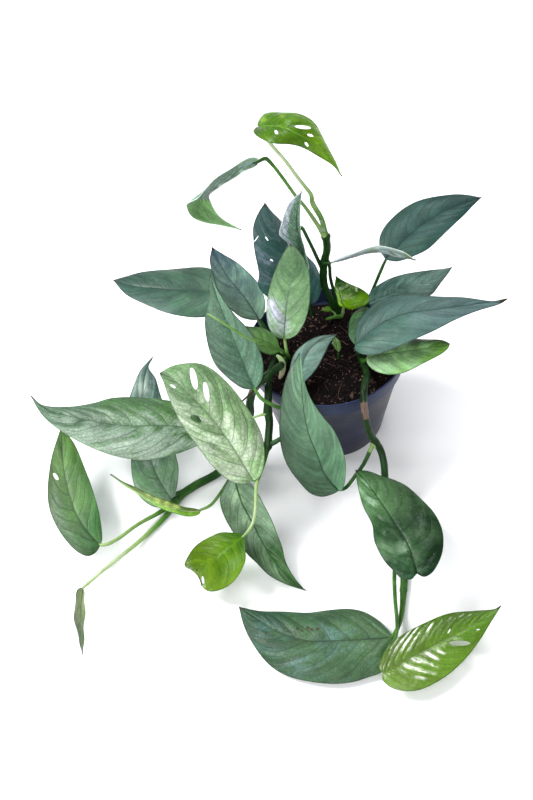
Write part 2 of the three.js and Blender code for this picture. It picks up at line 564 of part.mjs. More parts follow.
// The middle surface of a leaf: rows of points from edge to edge.
function bladeRows(leaf, rows, half) {
  const point = ([u, v, z = 0]) => new THREE.Vector3(u, v, z);
  const base = leaf.midrib[0];
  const tip = leaf.midrib.at(-1);
  const end = leaf.blunt ? [] : [tip];
  const flat = ([u, v]) => [u, v, 0];
  const middle = along(leaf.midrib.map(point), rows, 0.004, 0.992, 1.15);
  const edges = [leaf.left, leaf.right].map((side) =>
    along([base, ...side, ...end].map(flat).map(point), rows, 0.02, 0.992));
  const grid = [];
  for (let i = 0; i <= rows; i += 1) {
    const t = i / rows;
    const rise = Math.sin(Math.PI * (0.08 + 0.84 * t));
    const spine = place(middle[i].x, middle[i].y, middle[i].z);
    const [left, right] = edges.map((edge, k) =>
      place(edge[i].x, edge[i].y, middle[i].z + leaf.lift[k] * rise));
    const across = right.clone().sub(left);
    const next = middle[Math.min(i + 1, rows)];
    const last = middle[Math.max(i - 1, 0)];
    const onward = place(next.x, next.y, next.z).sub(place(last.x, last.y, last.z));
    const normal = across.clone().cross(onward).normalize();
    const row = [];
    for (let j = -half; j <= half; j += 1) {
      const share = Math.abs(j) / half;
      const edge = j < 0 ? left : right;
      const bulge = BLADE_BULGE * edge.distanceTo(spine) * Math.sin(Math.PI * share);
      row.push(spine.clone().lerp(edge, share).addScaledVector(normal, bulge));
    }
    grid.push(row);
  }
  return grid;
}

// A blade, grown by extra on every side.
function blade(leaf, extra = 0) {
  const rows = leaf.rows ?? BLADE_ROWS;
  const grid = bladeRows(leaf, rows, HALF_COLUMNS);
  const width = 2 * HALF_COLUMNS;
  const top = [];
  const under = [];
  grid.forEach((row, i) => row.forEach((point, j) => {
    const ahead = grid[Math.min(i + 1, rows)][j];
    const behind = grid[Math.max(i - 1, 0)][j];
    const onward = ahead.clone().sub(behind).normalize();
    const across = row[Math.min(j + 1, width)].clone().sub(row[Math.max(j - 1, 0)]).normalize();
    const normal = across.clone().cross(onward).normalize();
    const grown = point.clone();
    if (j === 0) grown.addScaledVector(across, -extra);
    if (j === width) grown.addScaledVector(across, extra);
    if (i === 0) grown.addScaledVector(onward, -extra);
    if (i === rows) grown.addScaledVector(onward, extra);
    top.push(grown.clone().addScaledVector(normal, BLADE_THICK / 2 + extra));
    under.push(grown.clone().addScaledVector(normal, -BLADE_THICK / 2 - extra));
  }));
  const at = (i, j) => i * (width + 1) + j;
  const below = top.length;
  const faces = [];
  for (let i = 0; i < rows; i += 1) {
    for (let j = 0; j < width; j += 1) {
      const [a, b, c, d] = [at(i, j), at(i, j + 1), at(i + 1, j + 1), at(i + 1, j)];
      const halves = j < HALF_COLUMNS ? [[a, b, d], [b, c, d]] : [[a, b, c], [a, c, d]];
      for (const [p, q, r] of halves) {
        faces.push(p, q, r, below + p, below + r, below + q);
      }
    }
  }
  const border = [];
  for (let j = 0; j < width; j += 1) border.push(at(0, j));
  for (let i = 0; i < rows; i += 1) border.push(at(i, width));
  for (let j = width; j > 0; j -= 1) border.push(at(rows, j));
  for (let i = rows; i > 0; i -= 1) border.push(at(i, 0));
  border.forEach((a, k) => {
    const b = border[(k + 1) % border.length];
    faces.push(a, below + a, b, b, below + a, below + b);
  });
  return solid([...top, ...under], faces);
}

// A rod along the line of sight that cuts one slit or hole in a leaf.
function holeCutter(leaf, [u1, v1, u2, v2, width]) {
  const u = (u1 + u2) / 2;
  const v = (v1 + v2) / 2;
  const nearest = leaf.midrib.reduce((a, b) =>
    (Math.hypot(a[0] - u, a[1] - v) < Math.hypot(b[0] - u, b[1] - v) ? a : b));
  const centre = place(u, v, nearest[2]);
  const ray = sight(u, v).normalize();
  const scale = centre.distanceTo(VIEW.eye) / VIEW.focal;
  const longways = place(u2, v2, nearest[2]).sub(place(u1, v1, nearest[2]));
  longways.addScaledVector(ray, -longways.dot(ray)).normalize();
  const sideways = ray.clone().cross(longways);
  const rod = new THREE.CylinderGeometry(1, 1, HOLE_CUT, HOLE_SIDES);
  const half = Math.hypot(u2 - u1, v2 - v1) / 2;
  const turn = new THREE.Matrix4().makeBasis(
    longways.clone().multiplyScalar(half * scale),
    ray.clone().negate(),
    sideways.clone().multiplyScalar((width / 2) * scale),
  );
  if (turn.determinant() < 0) turn.scale(new THREE.Vector3(1, 1, -1));
  turn.setPosition(centre);
  return solidOf(rod.applyMatrix4(turn));
}

function leafSolid(leaf) {
  let shape = blade(leaf);
  for (const hole of leaf.holes ?? []) {
    shape = shape.subtract(holeCutter(leaf, hole));
  }
  return biggest(shape);
}

// A round rod through points whose radii differ, with flat ends.
function rod(path, sides, extra = 0) {
  const points = path.map(([u, v, z]) => place(u, v, z));
  const curve = new THREE.CatmullRomCurve3(points, false, 'centripetal');
  const length = curve.getLength();
  const count = Math.max(2, Math.round(length / STEM_STEP));
  const marks = [0];
  for (let k = 1; k < points.length; k += 1) {
    marks.push(marks[k - 1] + points[k].distanceTo(points[k - 1]));
  }
  const radiusAt = (share) => {
    const reach = share * marks.at(-1);
    let k = 1;
    while (k < marks.length - 1 && marks[k] < reach) k += 1;
    const part = (reach - marks[k - 1]) / (marks[k] - marks[k - 1]);
    return THREE.MathUtils.lerp(path[k - 1][3], path[k][3], part) + extra;
  };
  const corners = [];
  const faces = [];
  let side = new THREE.Vector3(0.31, 0.9, 0.17);
  for (let i = 0; i <= count; i += 1) {
    const share = i / count;
    const centre = curve.getPointAt(share);
    const ahead = curve.getTangentAt(share);
    if (i === 0) centre.addScaledVector(ahead, -extra);
    side = side.addScaledVector(ahead, -side.dot(ahead)).normalize();
    const other = ahead.clone().cross(side);
    for (let k = 0; k < sides; k += 1) {
      const angle = (2 * Math.PI * k) / sides;
      const reach = radiusAt(share);
      corners.push(centre.clone()
        .addScaledVector(side, reach * Math.cos(angle))
        .addScaledVector(other, reach * Math.sin(angle)));
    }
  }
  for (let i = 0; i < count; i += 1) {
    for (let k = 0; k < sides; k += 1) {
      const a = i * sides + k;
      const b = i * sides + ((k + 1) % sides);
      faces.push(a, b, b + sides, a, b + sides, a + sides);
    }
  }
  const first = corners.length;
  corners.push(curve.getPointAt(0).addScaledVector(curve.getTangentAt(0), -extra));
  corners.push(curve.getPointAt(1));
  for (let k = 0; k < sides; k += 1) {
    const next = (k + 1) % sides;
    faces.push(first, next, k);
    faces.push(first + 1, count * sides + k, count * sides + next);
  }
  return solid(corners, faces);
}

// The runs of a stem joined in one body, each stalk ending just short of its leaf.
function runPath(run) {
  if (!run.leaf) return run.path;
  const [u, v, z] = LEAVES[run.leaf].midrib[0];
  return [...run.path, [u, v, z, run.path.at(-1)[3] * 0.9]];
}

function stemSolid(stem) {
  const rods = stem.runs.map((run, i) =>
    rod(runPath(run), i === 0 ? stem.sides : STALK_SIDES));
  let shape = rods.reduce((a, b) => a.add(b));
  for (const run of stem.runs) {
    if (run.leaf) shape = shape.subtract(blade(LEAVES[run.leaf], GAP));
  }
  return biggest(shape);
}

// The pot: a thin tapered shell with a band round its rim. Its underside has a
// centre disc and a foot ring, and drainage holes go through between them.
const BAND_BOTTOM = POT_HEIGHT - BAND_HEIGHT;
const BAND_TAPER = 1.6;
const NECK_RADIUS = RIM_RADIUS - BAND_TAPER - BAND_STEP;
const BASE_DISC = 24;
const FOOT_INNER = 38;
const EDGE_BREAK = 0.8;
const DRAIN_CIRCLE = 31;
const DRAIN_RADIUS = 4;
const DRAINS = 8;
const DRAIN_SIDES = 8;

function innerRadius(z) {
  const share = (z - RECESS) / (BAND_BOTTOM - RECESS);
  return THREE.MathUtils.lerp(BASE_RADIUS, NECK_RADIUS, share) - WALL;
}

function potSolid() {
  const floorTop = RECESS + FLOOR_THICK;
  const outline = [
    [0, 0],
    [BASE_DISC, 0],
    [BASE_DISC + 1, RECESS],
    [FOOT_INNER - 1, RECESS],
    [FOOT_INNER, 0],
    [BASE_RADIUS - EDGE_BREAK, 0],
    [BASE_RADIUS, EDGE_BREAK],
    [NECK_RADIUS, BAND_BOTTOM],
    [NECK_RADIUS + BAND_STEP - 0.4, BAND_BOTTOM],
    [NECK_RADIUS + BAND_STEP, BAND_BOTTOM + 0.6],
    [RIM_RADIUS, POT_HEIGHT - EDGE_BREAK],
    [RIM_RADIUS - 0.3, POT_HEIGHT],
    [RIM_RADIUS - 1, POT_HEIGHT],
    [RIM_RADIUS - WALL, POT_HEIGHT - 0.6],
    [NECK_RADIUS + BAND_STEP - WALL, BAND_BOTTOM + 2],
    [NECK_RADIUS - WALL, BAND_BOTTOM],
    [innerRadius(floorTop), floorTop],
    [0, floorTop],
  ];
  const profile = outline.map(([r, z]) => new THREE.Vector2(r, z));
  const shell = new THREE.LatheGeometry(profile, POT_SIDES).rotateX(Math.PI / 2);
  let pot = solidOf(shell);
  for (let k = 0; k < DRAINS; k += 1) {
    const angle = (2 * Math.PI * (k + 0.5)) / DRAINS;
    const hole = new THREE.CylinderGeometry(DRAIN_RADIUS, DRAIN_RADIUS, 8, DRAIN_SIDES);
    hole.rotateX(Math.PI / 2);
    hole.translate(DRAIN_CIRCLE * Math.cos(angle), DRAIN_CIRCLE * Math.sin(angle), 3);
    pot = pot.subtract(solidOf(hole));
  }
  return pot;
}

// A repeatable draw between 0 and 1 for a whole number.
function draw(n) {
  const wave = Math.sin(n * 12.9898 + 4.137) * 43758.5453;
  return wave - Math.floor(wave);
}

// A run that starts between this height and the soil's top is rooted in it.
const ROOT_DEPTH = 55;

// The potting soil: it fills the pot to the band, with a lumpy top and a hole
// for each stem that stands in it.
function soilSolid(stems) {
  const bottom = RECESS + FLOOR_THICK + GAP;
  const sideRadius = (z) => innerRadius(z) - GAP;
  const edgeRadius = sideRadius(SOIL_HEIGHT) - 0.4;
  const corners = [new THREE.Vector3(0, 0, SOIL_HEIGHT + SOIL_MOUND)];
  const faces = [];
  for (let ring = 1; ring <= SOIL_RINGS; ring += 1) {
    for (let k = 0; k < SOIL_SIDES; k += 1) {
      const share = ring / SOIL_RINGS;
      const angle = (2 * Math.PI * k) / SOIL_SIDES;
      const lump = SOIL_RELIEF * (2 * draw(ring * SOIL_SIDES + k) - 1);
      const height = SOIL_HEIGHT + SOIL_MOUND * (1 - share ** 2) + (share < 1 ? lump : 0);
      corners.push(new THREE.Vector3(
        edgeRadius * share * Math.cos(angle),
        edgeRadius * share * Math.sin(angle),
        height,
      ));
    }
  }
  for (const z of [BAND_BOTTOM - 1, bottom]) {
    for (let k = 0; k < SOIL_SIDES; k += 1) {
      const angle = (2 * Math.PI * k) / SOIL_SIDES;
      const reach = sideRadius(z);
      corners.push(new THREE.Vector3(reach * Math.cos(angle), reach * Math.sin(angle), z));
    }
  }
  const at = (ring, k) => 1 + (ring - 1) * SOIL_SIDES + (k % SOIL_SIDES);
  const lowest = SOIL_RINGS + 2;
  const centre = corners.push(new THREE.Vector3(0, 0, bottom)) - 1;
  for (let k = 0; k < SOIL_SIDES; k += 1) {
    faces.push(0, at(1, k), at(1, k + 1));
    for (let ring = 1; ring < lowest; ring += 1) {
      faces.push(at(ring, k), at(ring + 1, k), at(ring + 1, k + 1));
      faces.push(at(ring, k), at(ring + 1, k + 1), at(ring, k + 1));
    }
    faces.push(centre, at(lowest, k + 1), at(lowest, k));
  }
  let soil = solid(corners, faces);
  for (const stem of stems) {
    for (const run of stem.runs) {
      if (run.path[0][2] > ROOT_DEPTH && run.path[0][2] < SOIL_HEIGHT) {
        soil = soil.subtract(rod(runPath(run), STALK_SIDES + 1, STEM_HOLE));
      }
    }
  }
  return biggest(soil);
}

// The finish of each kind of piece.
const FINISH = {
  dark: { color: '#47655f', roughness: 0.45 },
  mid: { color: '#587f5f', roughness: 0.45 },
  grey: { color: '#6f8f80', roughness: 0.5 },
  pale: { color: '#8fb27c', roughness: 0.45 },
  silver: { color: '#9db0a6', roughness: 0.5 },
  bright: { color: '#74a628', roughness: 0.3 },
  stem: { color: '#2f5a2c', roughness: 0.4 },
  pot: { color: '#4a5068', roughness: 0.55 },
  soil: { color: '#2a211c', roughness: 0.95 },
};

const plant = new THREE.Group();

function addMesh(name, shape, finish) {
  const { vertProperties, triVerts } = shape.getMesh();
  const geometry = new THREE.BufferGeometry();
  geometry.setAttribute('position', new THREE.BufferAttribute(vertProperties, 3));
  geometry.setIndex(new THREE.BufferAttribute(triVerts, 1));
  geometry.computeVertexNormals();
  const material = new THREE.MeshStandardMaterial({ metalness: 0, ...FINISH[finish] });
  const mesh = new THREE.Mesh(geometry, material);
  mesh.name = name;
  plant.add(mesh);
}

addMesh('pot', potSolid(), 'pot');
addMesh('soil', soilSolid(Object.values(STEMS)), 'soil');
for (const [name, stem] of Object.entries(STEMS)) {
  addMesh(name, stemSolid(stem), 'stem');
}
for (const [name, leaf] of Object.entries(LEAVES)) {
  addMesh(name, leafSolid(leaf), leaf.colour);
}

export default plant;
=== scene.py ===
# %% [markdown]
# # A potted cebu blue pothos
# A climbing aroid in a plastic nursery pot. Its stems stand up in the middle,
# hang over the rim and trail along the table, and each carries long pointed
# leaves. The solids that the physics uses are loaded first. Everything that
# is seen is then built round them in the same frame, in metres.

# %% Load the solids
import math

import bpy
import numpy as np
from mathutils import Matrix, Vector, noise
from mathutils.geometry import delaunay_2d_cdt
from mathutils.kdtree import KDTree


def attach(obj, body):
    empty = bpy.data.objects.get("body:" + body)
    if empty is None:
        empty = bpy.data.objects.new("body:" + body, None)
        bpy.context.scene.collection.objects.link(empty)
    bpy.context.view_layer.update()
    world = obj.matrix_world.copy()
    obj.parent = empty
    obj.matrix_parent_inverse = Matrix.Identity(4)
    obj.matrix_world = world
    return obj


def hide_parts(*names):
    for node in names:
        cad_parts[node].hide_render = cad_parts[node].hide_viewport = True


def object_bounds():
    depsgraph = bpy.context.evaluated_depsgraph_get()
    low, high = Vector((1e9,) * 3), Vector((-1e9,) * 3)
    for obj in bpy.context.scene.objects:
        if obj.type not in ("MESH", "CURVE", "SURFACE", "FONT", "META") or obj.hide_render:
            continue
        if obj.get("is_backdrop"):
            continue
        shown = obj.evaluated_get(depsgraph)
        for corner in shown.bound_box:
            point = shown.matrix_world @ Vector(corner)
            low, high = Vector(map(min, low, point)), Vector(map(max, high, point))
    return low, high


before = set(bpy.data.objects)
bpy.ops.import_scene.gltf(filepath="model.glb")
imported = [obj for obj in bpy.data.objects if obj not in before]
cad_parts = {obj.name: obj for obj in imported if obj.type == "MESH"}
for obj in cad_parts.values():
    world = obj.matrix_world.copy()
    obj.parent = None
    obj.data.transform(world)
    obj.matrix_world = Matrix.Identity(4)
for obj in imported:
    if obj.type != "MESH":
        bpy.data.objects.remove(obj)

CAD_BOX = [[float(x) for x in corner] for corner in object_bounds()]
MM = 0.001
print(len(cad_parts), "solids, box", CAD_BOX)

# %% [markdown]
# ## The camera
# The photograph was taken standing over the pot, looking about 50 degrees down
# with the camera held slightly askew. The same camera also places the leaves:
# a pixel of the 533 by 800 picture and a height above the table give a point.

# %% Camera
FOCAL = 1111.0
PICTURE = (533, 800)
CENTRE = (266.5, 400.0)
TILT = math.radians(50.05)
ROLL = math.radians(-7.08)
EYE = np.array([-49.9, -564.9, 704.4])
FORWARD = np.array([0, math.cos(TILT), -math.sin(TILT)])
LEVEL_UP = np.array([0, math.sin(TILT), math.cos(TILT)])
LEVEL_RIGHT = np.array([1.0, 0, 0])
RIGHT = math.cos(ROLL) * LEVEL_RIGHT + math.sin(ROLL) * LEVEL_UP
UP = -math.sin(ROLL) * LEVEL_RIGHT + math.cos(ROLL) * LEVEL_UP
SENSOR = 36.0


def place(u, v, z):
    """The points in millimetres that the camera sees at pixels u, v and heights z."""
    u, v, z = np.broadcast_arrays(*[np.asarray(x, float) for x in (u, v, z)])
    ray = (FOCAL * FORWARD + (u - CENTRE[0])[..., None] * RIGHT
           + (CENTRE[1] - v)[..., None] * UP)
    return EYE + ray * ((z - EYE[2]) / ray[..., 2])[..., None]


def place_marks(marks):
    """The points of marks that start with a pixel and a height."""
    marks = np.asarray(marks, float)
    return place(marks[..., 0], marks[..., 1], marks[..., 2])


def pixel_of(points):
    """The pixel at which the camera sees each point in millimetres."""
    away = points - EYE
    depth = away @ FORWARD
    return np.stack([CENTRE[0] + FOCAL * (away @ RIGHT) / depth,
                     CENTRE[1] - FOCAL * (away @ UP) / depth], -1)


lens = bpy.data.cameras.new("camera")
lens.sensor_fit = "VERTICAL"
lens.sensor_height = SENSOR
lens.lens = SENSOR * FOCAL / PICTURE[1]
lens.dof.use_dof = False
lens.clip_end = 20
camera = bpy.data.objects.new("camera", lens)
bpy.context.scene.collection.objects.link(camera)
turn = Matrix((RIGHT, UP, -FORWARD)).transposed().to_4x4()
camera.matrix_world = Matrix.Translation(Vector(EYE * MM)) @ turn
bpy.context.scene.camera = camera
print("camera with a lens of", round(lens.lens, 1), "mm at", np.round(EYE * MM, 3))

# %% [markdown]
# ## Helpers for colour and materials
# Hex colours are written as a screen shows them, and Blender works with linear
# light, so one function turns the one into the other. Another one adds a shader
# node with its settings and what feeds it. Where a node has many sockets of one
# name, they are given by number: of Mix, 0 is the share and 6 and 7 are the two
# colours, and of MapRange, 0 is the value, 1 and 2 its range, and 3 and 4 the
# range that it is mapped to.

# %% Colour and shader helpers
def linear(code):
    """A linear colour with alpha from an sRGB hex code."""
    channels = [int(code[k:k + 2], 16) / 255 for k in (0, 2, 4)]
    return tuple(c / 12.92 if c <= 0.04045 else ((c + 0.055) / 1.055) ** 2.4
                 for c in channels) + (1.0,)


def add(tree, kind, feeds=None, **settings):
    """Adds a shader node with its settings. A socket is fed with a value, the output
    of a node, or a whole node, which stands for its first output."""
    node = tree.nodes.new("ShaderNode" + kind)
    for name, value in settings.items():
        setattr(node, name, value)
    for socket, value in (feeds or {}).items():
        if isinstance(value, bpy.types.Node):
            value = value.outputs[0]
        if isinstance(value, bpy.types.NodeSocket):
            tree.links.new(value, node.inputs[socket])
        else:
            node.inputs[socket].default_value = value
    return node


def blank_material(name):
    """A new material with an empty node tree."""
    material = bpy.data.materials.new(name)
    material.use_nodes = True
    material.node_tree.nodes.clear()
    return material, material.node_tree


def plain_object(name, points, faces):
    """An object in the scene from points in millimetres."""
    mesh = bpy.data.meshes.new(name)
    mesh.from_pydata((np.asarray(points) * MM).tolist(), [], faces)
    item = bpy.data.objects.new(name, mesh)
    bpy.context.scene.collection.objects.link(item)
    return item


def new_piece(name, points, faces, material, nodes=()):
    """A smooth piece that rides on the root, and may stand for some solids."""
    piece = plain_object(name, points, faces)
    mesh = piece.data
    mesh.polygons.foreach_set("use_smooth", [True] * len(mesh.polygons))
    mesh.materials.append(material)
    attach(piece, "root")
    if nodes:
        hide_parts(*nodes)
    return piece


def store(mesh, name, values):
    """Keeps one number for every point of a mesh, for its material to read."""
    mesh.attributes.new(name, "FLOAT", "POINT").data.foreach_set(
        "value", np.asarray(values, np.float32).ravel())


def smooth_step(low, high, x):
    """Rises smoothly from 0 at low to 1 at high."""
    t = np.clip((x - low) / (high - low), 0, 1)
    return t * t * (3 - 2 * t)


def painted(mesh, name, points, touches, inner, outer):
    """Keeps for every point how near it is to some pixels, each with a radius."""
    seen = pixel_of(points)
    share = np.zeros(len(points))
    for u, v, size in touches:
        gap = np.linalg.norm(seen - (u, v), axis=1)
        share = np.maximum(share, 1 - smooth_step(inner * size, outer * size, gap))
    store(mesh, name, np.resize(share, len(mesh.vertices)))


SMOOTH = {"interpolation_type": "SMOOTHSTEP"}
BLEND = {"data_type": "RGBA"}
print("helpers ready")

# %% [markdown]
# ## Smooth curves through a few points
# A stalk or the edge of a leaf is given by a handful of points. A centripetal
# Catmull-Rom curve passes through all of them without loops, and it is stepped
# through by length, so that the rows of a mesh come out evenly spaced.

# %% Curves
LENGTH_STEPS = 200
SAME_SPOT = 1e-4


class Curve:
    """A centripetal Catmull-Rom curve that is read by its share of the length."""

    def __init__(self, points):
        self.points = np.asarray(points, float)
        steps = np.linspace(0, 1, LENGTH_STEPS + 1)
        walk = np.linalg.norm(np.diff(self.at(steps), axis=0), axis=1)
        self.marks = np.concatenate([[0], np.cumsum(walk)])
        self.steps = steps
        self.length = self.marks[-1]

    def at(self, share):
        """The points at shares of the number of given points."""
        p = self.points
        spot = np.clip(np.asarray(share, float), 0, 1) * (len(p) - 1)
        k = np.minimum(spot.astype(int), len(p) - 2)
        t = (spot - k)[..., None]
        before = np.concatenate([[2 * p[0] - p[1]], p])
        after = np.concatenate([p, [2 * p[-1] - p[-2]]])
        p0, p1, p2, p3 = before[k], p[k], p[k + 1], after[k + 2]
        d0, d1, d2 = [np.linalg.norm(b - a, axis=-1, keepdims=True) ** 0.5
                      for a, b in ((p0, p1), (p1, p2), (p2, p3))]
        d1 = np.where(d1 < SAME_SPOT, 1.0, d1)
        d0 = np.where(d0 < SAME_SPOT, d1, d0)
        d2 = np.where(d2 < SAME_SPOT, d1, d2)
        m1 = ((p1 - p0) / d0 - (p2 - p0) / (d0 + d1) + (p2 - p1) / d1) * d1
        m2 = ((p2 - p1) / d1 - (p3 - p1) / (d1 + d2) + (p3 - p2) / d2) * d1
        return (p1 + m1 * t + (-3 * p1 + 3 * p2 - 2 * m1 - m2) * t ** 2
                + (2 * p1 - 2 * p2 + m1 + m2) * t ** 3)

    def along(self, share):
        """The points at shares of the length."""
        reach = np.clip(np.asarray(share, float), 0, 1) * self.length
        return self.at(np.interp(reach, self.marks, self.steps))


def unit(vectors):
    """The same directions with a length of one."""
    return vectors / np.linalg.norm(vectors, axis=-1, keepdims=True)


print("a straight test curve is", Curve([(0, 0, 0), (5, 0, 0), (10, 0, 0)]).length, "long")

# %% [markdown]
# ## Where the leaves and stems are
# Each leaf is read off the photograph: the midrib from the stalk to the tip as
# pixels with heights in millimetres, and its left and right edges as pixels.
# lift is how far each edge stands above the midrib. A hole is the two pixels
# at its ends and its width. A stem is a list of runs of pixel, pixel, height
# and radius, each with the leaf that it ends in.

